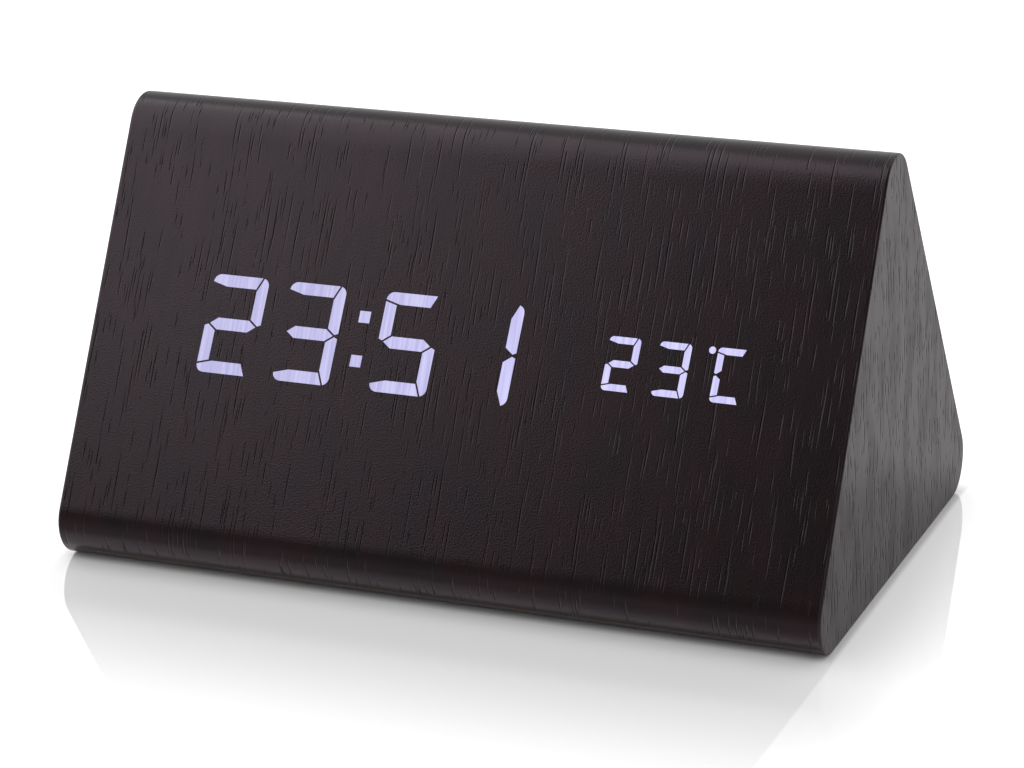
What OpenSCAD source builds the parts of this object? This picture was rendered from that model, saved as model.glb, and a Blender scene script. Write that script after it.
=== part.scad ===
// Wooden digital alarm clock: a skinned fibreboard prism with a light-through-skin display,
// a rear control panel and a battery compartment in its base.
// Frame: +X along the length, -Y towards the viewer, +Z up, origin at the middle of the footprint.

/* [Body] */
// Overall length, over both end skins
body_l = 150; // [146:1:220]
// Side of the equilateral profile, measured to its sharp corners
side = 100; // [98:1:130]
// Radius of the three long edges, outside the skin
corner_r = 7; // [4:0.5:10]
// Thickness of the fibreboard walls
board_t = 8; // [7.5:0.5:9]
// Thickness of the wood-grain skin
skin_t = 0.5; // [0.3:0.1:0.8]
// Thickness of the end boards
end_board_t = 8; // [4:0.5:8]
// Glue line round the end boards
glue_gap = 0.1; // [0.05:0.05:0.2]
// Angle of the lower seams, from straight down round the long edge
seam_angle = 47; // [12:1:50]
// Width of the lower seams, where the bare edge of the skin shows
seam_gap = 0.6; // [0.2:0.1:1]
// Clearance round pieces that drop into a cut-out
fit_gap = 0.15; // [0.1:0.05:0.3]

/* [Display] */
// Digits of the time shown
shown_time = [2, 3, 5, 1]; // [0:1:9]
// Digits of the temperature shown
shown_temperature = [2, 3]; // [0:1:9]
// From the left end of the clock to the first digit
display_left = 23.4; // [20:0.1:30]
// From the unit letter to the right end of the clock
display_right = 20.1; // [20:0.1:30]
// Height of the time's middle above the middle of the front
display_up = 0.3; // [-2:0.1:2]
// Height of the time digits
digit_h = 18.7; // [17:0.1:22]
// Width of the time digits
digit_w = 11.4; // [11:0.1:12.5]
// Stroke of the time digits
digit_stroke = 2.25; // [1.8:0.05:2.6]
// Dark line between neighbouring segments of the time digits
digit_cut = 0.35; // [0.25:0.05:0.5]
// Corner radius of the time digits
digit_round = 1.5; // [0.8:0.1:1.8]
// Gap between time digits
digit_gap = 4.5; // [3:0.1:5]
// Gap between the hours and the minutes
colon_gap = 8.2; // [6:0.1:8.5]
// Side of a colon dot
colon_dot = 2.2; // [1.6:0.1:2.8]
// Sideways place of the colon from the middle of its gap
colon_off = 0.5; // [-1:0.1:1]
// Height of each colon dot above or below the middle
colon_rise = 4.15; // [3:0.05:5]
// Height of the temperature digits
small_h = 9.9; // [9:0.1:12]
// Height of the temperature's middle above the time's
small_up = 0.6; // [-2:0.1:2]
// Width of the temperature digits
small_w = 6; // [5.8:0.1:6.6]
// Stroke of the temperature digits
small_stroke = 1.25; // [1.1:0.05:1.5]
// Dark line between neighbouring segments of the temperature digits
small_cut = 0.25; // [0.2:0.05:0.35]
// Corner radius of the temperature digits
small_round = 0.8; // [0.5:0.1:1]
// Gap between the temperature digits
small_gap = 3.6; // [3:0.1:3.8]
// Gap between the temperature digits and their unit
unit_gap = 4.9; // [4:0.1:5.2]
// Diameter of the degree dot
degree_d = 1.3; // [1:0.1:1.6]
// Distance of the degree dot's centre from the unit letter
degree_off = 1.1; // [1:0.1:1.4]
// Lean of the characters, in degrees from upright
lean = 2; // [0:0.5:6]
// Margin of the display cut-out round the characters
window_margin = 3; // [2.5:0.1:3.2]
// Thickness of the diffuser film
film_t = 0.3; // [0.2:0.1:0.6]
// Thickness of the circuit boards
pcb_t = 1.6; // [1:0.1:2]
// Lap of the display board past the cut-out, at each end
pcb_lap_x = 6; // [5.5:0.5:6]
// Lap of the display board past the cut-out, above and below
pcb_lap_y = 3; // [2:0.5:5]

/* [Rear panel] */
// Width of the rear panel
panel_w = 88; // [86:1:96]
// Height of the rear panel
panel_h = 30; // [29:1:34]
// Thickness of the rear panel's face
panel_t = 2; // [1.6:0.1:2.5]
// Corner radius of the rear panel
panel_r = 3; // [1:0.5:4]
// Lap of the panel past the cut-out, at each end
panel_lap_x = 5; // [4.5:0.5:5]
// Lap of the panel past the cut-out, above and below
panel_lap_y = 3; // [2:0.5:3]
// Wall of the sleeve that passes through the cut-out
sleeve_t = 1.6; // [1.2:0.1:1.8]
// Place of the panel up the back face, from its middle
panel_up = -8; // [-10:0.5:0]
// Diameter of the button caps
cap_d = 7; // [6:0.1:7.4]
// Height of the button caps above the panel
cap_proud = 1; // [0.8:0.1:2]
// From the panel's end to the middle of the power socket
usb_in = 15; // [14:0.5:16]
// From the panel's other end to the middle of the beeper
beeper_in = 16; // [15.5:0.5:18]
// Travel of the buttons
button_travel = 0.5; // [0.3:0.05:0.6]
// Thickness of the collar that keeps a cap in the panel
collar_t = 0.8; // [0.6:0.1:1.2]
// Width of the collar beyond the cap
collar_lap = 0.8; // [0.5:0.1:1]
// Radial clearance of sliding and turning pieces
run_gap = 0.08; // [0.05:0.01:0.1]
// Side of a push switch
switch_w = 6; // [5.5:0.1:6.2]
// Height of a push switch body
switch_h = 3.4; // [3.2:0.1:4.5]
// Diameter of a push switch plunger
plunger_d = 3.4; // [2.5:0.1:3.6]

/* [Battery compartment] */
// Diameter of a cell
cell_d = 10.5; // [10:0.1:10.7]
// Length of a cell, with its button end
cell_l = 44.5; // [43:0.1:46]
// Gap between neighbouring cells
cell_gap = 0.7; // [0.4:0.1:1]
// Room between the cells and the side walls
cell_side_gap = 0.5; // [0.4:0.1:1]
// Working length of a contact spring
spring_l = 4.4; // [4:0.1:5.5]
// Wire diameter of a contact spring
spring_wire = 0.5; // [0.4:0.05:0.5]
// Turns of a contact spring
spring_turns = 4; // [3:0.5:4]
// Thickness of the contact plates
contact_t = 0.4; // [0.3:0.1:0.6]
// Wall of the battery box
box_t = 2; // [1.8:0.1:2.4]
// Lap of the battery box flange past the cut-out
flange_lap = 5; // [4.5:0.5:6]
// Corner radius of the flange
flange_r = 3; // [1:0.5:4]
// Depth of the flange and door below the base, clear of the table
base_recess = 0.2; // [0.1:0.05:0.4]
// Thickness of the battery door
door_t = 2; // [1.8:0.1:2.4]
// Clearance round the battery door
door_gap = 0.2; // [0.15:0.05:0.3]
// Lap of the battery door on the rim of the box
door_lap = 1; // [0.8:0.1:1.1]
// Radius of the door's hinge pins
pin_r = 0.7; // [0.5:0.05:0.7]
// Length of the door's hinge pins
pin_l = 1.6; // [1.2:0.1:2]

/* [Hidden] */
$fn = 48;

// Triangle: centre of the profile and the three outward face directions
inradius = side / (2 * sqrt(3));
sharp_h = side * sqrt(3) / 2;
front_dir = 150;
back_dir = 30;
base_dir = 270;
face_dirs = [front_dir, back_dir, base_dir];
far = 2 * side;
corner_bite = 0.001;
shell_l = body_l - 2 * skin_t;
wall_t = skin_t + board_t;
hollow_l = shell_l - 2 * end_board_t;

// Character layout, along the front face
time_w = 4 * digit_w + 2 * digit_gap + colon_gap;
temperature_w = 3 * small_w + small_gap + unit_gap;
display_w = body_l - display_left - display_right;
display_x = (display_left - display_right) / 2;
time_left = -body_l / 2 + display_left;
temperature_left = body_l / 2 - display_right - temperature_w;
time_step = digit_w + digit_gap;
time_x = [for (i = [0 : 3]) time_left + digit_w / 2 + i * time_step + (i > 1 ? colon_gap - digit_gap : 0)];
small_first_x = temperature_left + small_w / 2;
small_step = small_w + small_gap;
temperature_x = [for (i = [0 : 2]) small_first_x + i * small_step + (i > 1 ? unit_gap - small_gap : 0)];
colon_x = (time_x[1] + time_x[2]) / 2 + colon_off;
degree_x = temperature_x[2] - small_w / 2 - degree_off + lean_shift(small_h / 2);
degree_y = small_up + small_h / 2 - degree_d / 2;
time_places = [for (x = time_x) [x, 0, 0]];
small_places = [for (x = temperature_x) [x, small_up, 0]];
time_style = [digit_w, digit_h, digit_stroke, digit_cut, digit_round];
small_style = [small_w, small_h, small_stroke, small_cut, small_round];

// Seven-segment code, segments a to g, for the digits 0 to 9 and the unit letter
SEGMENT_CODE = [
    [1, 1, 1, 1, 1, 1, 0], [0, 1, 1, 0, 0, 0, 0], [1, 1, 0, 1, 1, 0, 1], [1, 1, 1, 1, 0, 0, 1],
    [0, 1, 1, 0, 0, 1, 1], [1, 0, 1, 1, 0, 1, 1], [1, 0, 1, 1, 1, 1, 1], [1, 1, 1, 0, 0, 0, 0],
    [1, 1, 1, 1, 1, 1, 1], [1, 1, 1, 1, 0, 1, 1]
];
UNIT_CODE = [1, 0, 0, 1, 1, 1, 0];
ALL_ON = [1, 1, 1, 1, 1, 1, 1];

// Where the cuts between segments meet the strokes, in stroke widths
top_cut = 0.45;
side_cut = 0.27;
waist_in = 0.32;
notch_rise = 0.14;
arc_steps = 5;

// Display stack, measured inwards from the face
window_w = display_w + 2 * window_margin;
window_h = digit_h + 2 * window_margin;
window_r = 1.5;
seat_gap = 0.02;
film_z = -skin_t - seat_gap;
reflector_z = film_z - film_t;
display_pcb_z = -wall_t - seat_gap;
display_back_z = display_pcb_z - pcb_t;
display_pcb_w = window_w + 2 * pcb_lap_x;
display_pcb_h = window_h + 2 * pcb_lap_y;
display_screw_x = window_w / 2 + pcb_lap_x / 2;
display_screw_y = window_h / 2 - window_margin;
led_h = 0.6;
led_share = 0.6;

// Screws: shank radius, head radius, head height, length
pcb_screw = [1, 1.9, 1.4, 6];
panel_screw = [1.1, 2.1, 1.3, 5.5];
screw_gap = 0.1;
head_rim = 0.3;
panel_screw_sink = panel_screw[2] + screw_gap / 2;
panel_pilot = panel_screw_sink + panel_screw[3] + screw_gap;
screw_point = 1;
recess_d = 1.1;
recess_w = 0.5;
recess_share = 1.2;
crown_share = 0.7;
crown_rise = 0.55;

// Rear panel stack, measured inwards from the face
panel_window_w = panel_w - 2 * panel_lap_x;
panel_window_h = panel_h - 2 * panel_lap_y;
sleeve_w = panel_window_w - 2 * fit_gap;
sleeve_h = panel_window_h - 2 * fit_gap;
sleeve_r = 1.5;
sleeve_past = 0.8;
collar_gap = 0.1;
press_gap = 0.2;
switch_top_z = -panel_t - collar_gap - collar_t - button_travel - press_gap;
main_pcb_z = switch_top_z - switch_h;
main_back_z = main_pcb_z - pcb_t;
main_pcb_w = sleeve_w - 2 * sleeve_t - 2 * fit_gap;
main_pcb_h = sleeve_h - 2 * sleeve_t - 2 * fit_gap;
boss_r = 2.2;
boss_in = 2.5;
boss_x = main_pcb_w / 2 - boss_in;
boss_y = main_pcb_h / 2 - boss_in;
panel_screw_x = panel_w / 2 - panel_lap_x / 2;
plunger_room = 0.4;

// Power socket
usb_x = -panel_w / 2 + usb_in;
usb_w = 7.6;
usb_h = 2.9;
usb_wall = 0.35;
usb_r = 0.7;
usb_sink = 1;
usb_recess_w = 11.6;
usb_recess_h = 7.4;
usb_tongue_w = 5.2;
usb_tongue_t = 0.7;
usb_tongue_sink = 0.8;
usb_floor = 1;

// Sounder, microphone and temperature sensor
beeper_x = panel_w / 2 - beeper_in;
beeper_d = 12;
beeper_gap = 0.3;
beeper_hole_d = 2;
slot_count = 5;
slot_w = 1.1;
slot_h = 8;
slot_step = 2.2;
slot_round = 0.5;
mic_d = 6;
mic_gap = 1;
mic_x = beeper_x - beeper_d / 2 - mic_d / 2 - mic_gap;
mic_y = 4.6;
mic_h = 2.7;
mic_hole_d = 1.4;
mic_hole_depth = 0.5;
bead_x = mic_x;
bead_y = -5;
bead_d = 2.2;
bead_rise = 3;
bead_lead_d = 0.5;
bead_lead_step = 1.2;

// Buttons, evenly between the power socket and the microphone
cap_round = 0.5;
cap_round_step = 15;
button_step = (mic_x - usb_x) / 4;
button_x = [for (i = [1 : 3]) usb_x + i * button_step];

// Chips, sockets and small parts on the backs of the boards
chip_l = 15;
chip_w = 7.5;
chip_h = 2.3;
chip_stand = 0.1;
chip_pins = 10;
chip_pin_step = 1.27;
chip_pin_w = 0.42;
chip_pin_t = 0.25;
chip_pin_root = 0.1;
chip_pin_tab = 0.375;
chip_span = 10.3;
chip_space = 1.5;
chip_y = 4;
driver_x = -30;
socket_w = 16;
socket_d = 5;
socket_h = 5.5;
socket_wall = 0.8;
socket_floor = 1.2;
socket_pins = 6;
socket_pin_step = 2;
socket_pin_w = 0.6;
ribbon_w = 12;
ribbon_t = 0.9;
ribbon_reach = 10;
ribbon_steps = 20;
socket_y = -3;
chip_x = -socket_w / 2 - chip_l / 2 - chip_space;
crystal_d = 2;
crystal_l = 6;
crystal_x = chip_x - chip_l / 2 - crystal_d - chip_space;
capacitor_d = 6;
capacitor_h = 8;
capacitor_x = socket_w / 2 + capacitor_d + chip_space;

// Battery compartment, heights above the table
cell_count = 3;
cell_step = cell_d + cell_gap;
bay_l = cell_l + spring_l + 2 * contact_t;
bay_w = cell_count * cell_d + (cell_count - 1) * cell_gap + 2 * cell_side_gap;
box_l = bay_l + 2 * box_t;
box_w = bay_w + 2 * box_t;
flange_l = box_l + 2 * flange_lap;
flange_w = box_w + 2 * flange_lap;
door_seat = 0.1;
flange_top = base_recess + door_t + door_seat;
cell_clear = 0.4;
cell_z = flange_top + cell_clear + cell_d / 2;
bay_top = cell_z + cell_d / 2 + cell_clear;
box_top = bay_top + box_t;
opening_l = bay_l + 2 * door_lap;
opening_w = bay_w + 2 * door_lap;
door_l = opening_l - 2 * door_gap;
barrel_r = door_t / 2;
hinge_y = opening_w / 2 - door_gap - barrel_r;
hinge_z = base_recess + barrel_r;
door_front_y = -opening_w / 2 + door_gap;
latch_w = 8;
latch_t = 0.9;
latch_h = 1.8;
latch_gap = 0.25;
notch_d = 12;
notch_depth = 1;
rib_count = 4;
rib_step = 1.6;
rib_w = 0.7;
rib_h = 0.15;
rib_in = 2;
latch_root = 0.5;
box_screw_x = flange_l / 2 - flange_lap / 2;
box_screw_in = 2;
box_screw_y = flange_w / 2 - flange_lap - box_screw_in;
nub_d = 3.8;
nub_h = 0.8;
cell_edge = 0.6;
plate_w = 8.6;
plate_h = 8.6;
tag_w = 3;
tag_rise = 2.5;
tag_gap = 0.2;
spring_r_plate = 3.3;
spring_r_cell = 2.3;
spring_sides = 6;
spring_rings = 8;
lead_d = 1.5;
lead_sides = 8;
lead_rings = 22;
lead_pad_y = -6;
lead_pad_x = socket_w / 2 + 2 * lead_d;
lead_gap = 0.2;
lead_rise = 9;
lead_reach = 9;

// Cell i has its button end on this side
function cell_side(i) = i % 2 == 0 ? 1 : -1;
function cell_y(i) = (i - (cell_count - 1) / 2) * cell_step;

// Sideways shift of a leaning character at a height above its middle
function lean_shift(y) = y * tan(lean);

// A polygon cut off along the line p to q, keeping what lies to its left by at least gap
function keep_left(points, p, q, gap) =
    let (
        along = (q - p) / norm(q - p),
        out = [along[1], -along[0]],
        limit = out * p - gap
    )
    [
        for (i = [0 : len(points) - 1])
            let (
                a = points[i],
                b = points[(i + 1) % len(points)],
                da = out * a - limit,
                db = out * b - limit
            )
            each concat(
                da <= 0 ? [a] : [],
                da * db < 0 ? [a + (b - a) * da / (da - db)] : []
            )
    ];

function arc(centre, r, from, to) =
    [for (i = [0 : arc_steps]) centre + r * dir(from + (to - from) * i / arc_steps)];
function dir(angle) = [cos(angle), sin(angle)];
function flip(points) = [for (p = points) [p[0], -p[1]]];
function leaning(points) = [for (p = points) [p[0] + lean_shift(p[1]), p[1]]];

// Outline of one segment, 0 to 6 for a to g, of a character [width, height, stroke, cut, round]
function segment_outline(style, k) =
    let (
        w = style[0] / 2, h = style[1] / 2, t = style[2], gap = style[3] / 2, r = style[4],
        inner_right = [w - t, h - t], top_right = [w - t + top_cut * t, h],
        inner_left = [-w + t, h - t], side_left = [-w, h - t + side_cut * t],
        waist_right = [w - waist_in * t, 0], waist_left = [-w + waist_in * t, 0],
        mid_right = [w - t, t / 2], mid_left = [-w + t, t / 2],
        notch_right = [w, notch_rise * t], notch_left = [-w, notch_rise * t],
        round_right = arc([w - r, h - r], r, 0, 90),
        round_left = arc([-w + r, h - r], r, 90, 180)
    )
    k == 0 ? keep_left(keep_left(
            concat([[-w, h - t], [w, h - t]], round_right, round_left),
            side_left, inner_left, gap), inner_right, top_right, gap) :
    k == 1 ? keep_left(keep_left(keep_left(
            concat([[w - t, 0], [w, 0]], round_right, [[w - t, h]]),
            top_right, inner_right, gap), mid_right, waist_right, gap), waist_right, notch_right, gap) :
    k == 5 ? keep_left(keep_left(keep_left(
            [[-w, 0], [-w + t, 0], [-w + t, h], [-w, h]],
            inner_left, side_left, gap), waist_left, mid_left, gap), notch_left, waist_left, gap) :
    k == 6 ? keep_left(keep_left(keep_left(keep_left(
            [[-w, -t / 2], [w, -t / 2], [w, t / 2], [-w, t / 2]],
            waist_right, mid_right, gap), flip([mid_right])[0], waist_right, gap),
            mid_left, waist_left, gap), waist_left, flip([mid_left])[0], gap) :
    flip(segment_outline(style, k == 2 ? 1 : k == 3 ? 0 : 5));

// Middle of a segment, where its lamp sits
function segment_middle(style, k) =
    let (
        w = style[0] / 2 - style[2] / 2, h = style[1] / 2 - style[2] / 2,
        places = [[0, h], [w, h / 2], [w, -h / 2], [0, -h], [-w, -h / 2], [-w, h / 2], [0, 0]]
    )
    leaning([places[k]])[0];

// Points of a cubic curve between two ends, each with its own pull
function curve(a, a_pull, b, b_pull, steps) = [
    for (i = [0 : steps])
        let (s = i / steps, u = 1 - s)
        u * u * u * a + 3 * u * u * s * (a + a_pull) + 3 * u * s * s * (b + b_pull) + s * s * s * b
];

// A round tube through the points, as rings of flat-sided faces with closed ends
module tube(points, r, sides) {
    last = len(points) - 1;
    aim = [
        for (i = [0 : last])
            let (v = points[min(i + 1, last)] - points[max(i - 1, 0)])
            v / norm(v)
    ];
    rings = [
        for (i = [0 : last])
            let (
                ref = abs(aim[i][0]) < 0.9 ? [1, 0, 0] : [0, 1, 0],
                u = cross(aim[i], ref) / norm(cross(aim[i], ref)),
                v = cross(aim[i], u)
            )
            [for (j = [0 : sides - 1]) points[i] + r * (u * cos(360 * j / sides) + v * sin(360 * j / sides))]
    ];
    walls = [
        for (i = [0 : last - 1], j = [0 : sides - 1])
            let (
                a = i * sides + j, b = i * sides + (j + 1) % sides,
                c = a + sides, d = b + sides
            )
            each [[a, c, b], [b, c, d]]
    ];
    start = [for (j = [1 : sides - 2]) [0, j, j + 1]];
    end = [for (j = [1 : sides - 2]) [last * sides, last * sides + j + 1, last * sides + j]];
    polyhedron([for (ring = rings) each ring], concat(walls, start, end));
}

// Frames of the faces: x to the right as seen from outside, y up the face, z outwards
module on_front() {
    translate([0, -side / 4, sharp_h / 2]) rotate([60, 0, 0]) translate([0, display_up, 0]) children();
}

module on_back() {
    translate([0, side / 4, sharp_h / 2]) rotate([60, 0, 180]) translate([0, panel_up, 0]) children();
}

module along_x(from, to) {
    translate([from, 0, 0]) rotate([90, 0, 90]) linear_extrude(to - from) children();
}

// Draws a flat outline between two depths
module slab(from, to) {
    translate([0, 0, min(from, to)]) linear_extrude(abs(to - from)) children();
}

module rounded(w, h, r) {
    union() {
        square([w - 2 * r, h], center = true);
        square([w, h - 2 * r], center = true);
        for (x = [-1, 1], y = [-1, 1]) translate([x * (w / 2 - r), y * (h / 2 - r)]) circle(r);
    }
}

// The rounded triangle, shrunk by an inset: a sharp one with its corners trimmed back to arcs
module profile(inset) {
    difference() {
        hollow(inset);
        for (d = face_dirs) translate([0, inradius]) rotate(d + 180) corner_trim(corner_r - inset);
    }
}

// What is trimmed off a sharp corner that points along +x, to leave an arc of radius r
module corner_trim(r) {
    reach = 2 * (inradius - corner_r);
    difference() {
        translate([reach + r / 2, -far / 2]) square([far, far]);
        translate([reach, 0]) circle(r + corner_bite);
    }
}

// A sharp triangle, inset from the faces
module hollow(inset) {
    r = 2 * (inradius - inset);
    polygon([for (d = face_dirs) [0, inradius] - r * dir(d)]);
}

// One third of the profile, between the mitres
module mitre(d) {
    centre = [0, inradius];
    polygon([centre, centre + far * dir(d - 60), centre + far * dir(d + 60)]);
}

module board(d) {
    along_x(-shell_l / 2, shell_l / 2) intersection() {
        difference() {
            profile(skin_t);
            hollow(wall_t);
        }
        mitre(d);
    }
}

// A screw with its head's underside at the origin and its shank going down
module screw(size, countersunk) {
    r = size[0];
    head = size[1];
    difference() {
        rotate_extrude() polygon(countersunk ?
            [[0, size[2]], [head, size[2]], [head, size[2] - head_rim], [r, 0],
             [r, screw_point - size[3]], [0, -size[3]]] :
            [[0, size[2]], [head * crown_share, size[2]], [head, size[2] * crown_rise], [head, 0], [r, 0],
             [r, screw_point - size[3]], [0, -size[3]]]);
        for (turn = [0, 90]) rotate(turn) translate([0, 0, size[2]])
            cube([head * recess_share, recess_w, recess_d], center = true);
    }
}

// The hole that a countersunk screw goes through, from a face at the origin down
module countersink() {
    r = panel_screw[0] + screw_gap;
    head = panel_screw[1] + screw_gap;
    rotate_extrude() polygon([
        [0, 1], [head, 1], [head, -head_rim - screw_gap], [r, -panel_screw_sink],
        [r, -panel_screw[3]], [0, -panel_screw[3]]
    ]);
}

// Four corner places
module at_corners(x, y) {
    for (i = [-1, 1], j = [-1, 1]) translate([i * x, j * y, 0]) children();
}

// Display characters

module character(style, code, place, from, to) {
    for (k = [0 : 6]) if (code[k] == 1)
        translate(place) slab(from, to) polygon(leaning(segment_outline(style, k)));
}

module colon(from, to) {
    half = colon_dot / 2;
    for (s = [-1, 1]) translate([colon_x, 0, 0]) slab(from, to) polygon(leaning([
        [-half, s * colon_rise - half], [half, s * colon_rise - half],
        [half, s * colon_rise + half], [-half, s * colon_rise + half]
    ]));
}

module degree_dot(from, to) {
    translate([degree_x, degree_y, 0]) slab(from, to) circle(d = degree_d);
}

module time_characters(from, to) {
    for (i = [0 : 3]) character(time_style, SEGMENT_CODE[shown_time[i]], time_places[i], from, to);
    colon(from, to);
}

module temperature_characters(from, to) {
    for (i = [0 : 1]) character(small_style, SEGMENT_CODE[shown_temperature[i]], small_places[i], from, to);
    character(small_style, UNIT_CODE, small_places[2], from, to);
    degree_dot(from, to);
}

module every_segment(from, to) {
    for (place = time_places) character(time_style, ALL_ON, place, from, to);
    for (place = small_places) character(small_style, ALL_ON, place, from, to);
    colon(from, to);
    degree_dot(from, to);
}

// Case boards

module front_board() {
    color("burlywood") difference() {
        board(front_dir);
        on_front() translate([display_x, 0, 0]) {
            slab(1, -wall_t - 1) rounded(window_w, window_h, window_r);
            at_corners(display_screw_x, display_screw_y) translate([0, 0, display_back_z])
                cylinder(r = pcb_screw[0] + screw_gap, h = pcb_screw[3] + screw_gap);
        }
    }
}

module back_board() {
    color("burlywood") difference() {
        board(back_dir);
        on_back() {
            slab(1, -wall_t - 1) rounded(panel_window_w, panel_window_h, sleeve_r);
            slab(1, -panel_t) rounded(panel_w, panel_h, panel_r);
            for (s = [-1, 1]) translate([s * panel_screw_x, 0, 0])
                slab(0, -panel_pilot) circle(panel_screw[0] + screw_gap);
        }
    }
}

module base_board() {
    color("burlywood") difference() {
        board(base_dir);
        slab(-1, wall_t + 1) rounded(box_l + 2 * fit_gap, box_w + 2 * fit_gap, sleeve_r);
        slab(-1, flange_top) rounded(flange_l + 2 * fit_gap, flange_w + 2 * fit_gap, flange_r);
        at_corners(box_screw_x, box_screw_y)
            slab(0, base_recess + panel_pilot) circle(panel_screw[0] + screw_gap);
    }
}

module end_board(s) {
    color("burlywood") along_x(min(s * hollow_l, s * shell_l) / 2, max(s * hollow_l, s * shell_l) / 2)
        hollow(wall_t + glue_gap);
}

// Skins

module seam_cut(more) {
    lower = [0, inradius] - 2 * (inradius - corner_r) * dir(back_dir);
    edge = base_dir - seam_angle;
    polygon([
        [0, lower[1]], lower, lower + corner_r * 2 * dir(edge) + more * dir(edge - 90),
        [0, -corner_r * 2]
    ]);
}

module below_seams(more) {
    seam_cut(more);
    mirror([1, 0]) seam_cut(more);
}

module skin_ring() {
    difference() {
        profile(0);
        profile(skin_t);
    }
}

module wrap_skin() {
    color("#3a3133") difference() {
        along_x(-shell_l / 2, shell_l / 2) difference() {
            skin_ring();
            below_seams(seam_gap);
        }
        on_back() slab(1, -skin_t - 1) rounded(panel_w, panel_h, panel_r);
        on_front() {
            time_characters(1, -skin_t - 1);
            temperature_characters(1, -skin_t - 1);
        }
    }
}

module base_skin() {
    color("#3a3133") difference() {
        along_x(-shell_l / 2, shell_l / 2) intersection() {
            skin_ring();
            below_seams(0);
        }
        slab(-1, skin_t + 1) rounded(flange_l + 2 * fit_gap, flange_w + 2 * fit_gap, flange_r);
    }
}

module seam_strips() {
    color("peru") along_x(-shell_l / 2, shell_l / 2) intersection() {
        skin_ring();
        difference() {
            below_seams(seam_gap);
            below_seams(0);
        }
    }
}

module end_skin(s) {
    color("#5c5557") along_x(min(s * shell_l, s * body_l) / 2, max(s * shell_l, s * body_l) / 2) profile(0);
}

// Display stack

module lit_time() {
    color("lavender") on_front() time_characters(0, -skin_t);
}

module lit_temperature() {
    color("lavender") on_front() temperature_characters(0, -skin_t);
}

module diffuser_film() {
    color("white", 0.6) on_front() translate([display_x, 0, 0])
        slab(film_z, reflector_z) rounded(window_w - 2 * fit_gap, window_h - 2 * fit_gap, window_r);
}

module segment_reflector() {
    color("white") on_front() difference() {
        translate([display_x, 0, 0]) slab(reflector_z, display_pcb_z)
            rounded(window_w - 2 * fit_gap, window_h - 2 * fit_gap, window_r);
        every_segment(reflector_z + 1, display_pcb_z - 1);
    }
}

module led(style, place, k) {
    p = segment_middle(style, k);
    upright = k == 1 || k == 2 || k == 4 || k == 5;
    t = style[2] * led_share;
    translate(place + [p[0], p[1], display_pcb_z + led_h / 2])
        cube(upright ? [t, 2 * t, led_h] : [2 * t, t, led_h], center = true);
}

module display_leds() {
    color("khaki") on_front() {
        for (place = time_places, k = [0 : 6]) led(time_style, place, k);
        for (place = small_places, k = [0 : 6]) led(small_style, place, k);
        for (y = [-colon_rise, colon_rise])
            translate([colon_x + lean_shift(y), y, display_pcb_z + led_h / 2])
                cube([led_share, led_share, 0] * colon_dot + [0, 0, led_h], center = true);
        translate([degree_x, degree_y, display_pcb_z + led_h / 2])
            cube([led_share, led_share, 0] * degree_d + [0, 0, led_h], center = true);
    }
}

module display_pcb() {
    color("darkgreen") on_front() translate([display_x, 0, 0]) difference() {
        slab(display_pcb_z, display_back_z) rounded(display_pcb_w, display_pcb_h, window_r);
        at_corners(display_screw_x, display_screw_y) translate([0, 0, display_back_z - 1])
            cylinder(r = pcb_screw[0] + screw_gap, h = pcb_t + 2);
    }
}

// A flat chip with two rows of bent pins, standing on z = 0
module chip() {
    body_z = chip_stand + chip_h / 2;
    leg_x = (chip_span - chip_w) / 2;
    root_low = chip_pin_root - chip_pin_tab;
    translate([0, 0, body_z]) cube([chip_l, chip_w, chip_h], center = true);
    for (i = [0 : chip_pins - 1], s = [-1, 1])
        translate([(i - (chip_pins - 1) / 2) * chip_pin_step, s * (chip_w / 2), 0]) {
            translate([-chip_pin_w / 2, s > 0 ? 0 : -leg_x, 0]) cube([chip_pin_w, leg_x, chip_pin_t]);
            translate([-chip_pin_w / 2, -chip_pin_t / 2 + s * chip_pin_t, 0])
                cube([chip_pin_w, chip_pin_t, body_z]);
            translate([-chip_pin_w / 2, s > 0 ? -chip_pin_root : root_low, body_z - chip_pin_t])
                cube([chip_pin_w, chip_pin_tab, chip_pin_t]);
        }
}

// A shrouded pin socket, standing on z = 0
module socket() {
    difference() {
        translate([-socket_w / 2, -socket_d / 2, 0]) cube([socket_w, socket_d, socket_h]);
        translate([-socket_w / 2 + socket_wall, -socket_d / 2 + socket_wall, socket_floor])
            cube([socket_w - 2 * socket_wall, socket_d - 2 * socket_wall, socket_h]);
    }
    for (i = [0 : socket_pins - 1])
        translate([(i - (socket_pins - 1) / 2) * socket_pin_step, 0, socket_floor + socket_pin_w])
            cube([socket_pin_w, socket_pin_w, 2 * socket_pin_w], center = true);
}

module driver_chip() {
    color("dimgray") on_front() translate([driver_x, 0, display_back_z]) mirror([0, 0, 1]) chip();
}

module display_socket() {
    color("ivory") on_front() translate([0, socket_y, display_back_z]) mirror([0, 0, 1]) socket();
}

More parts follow.
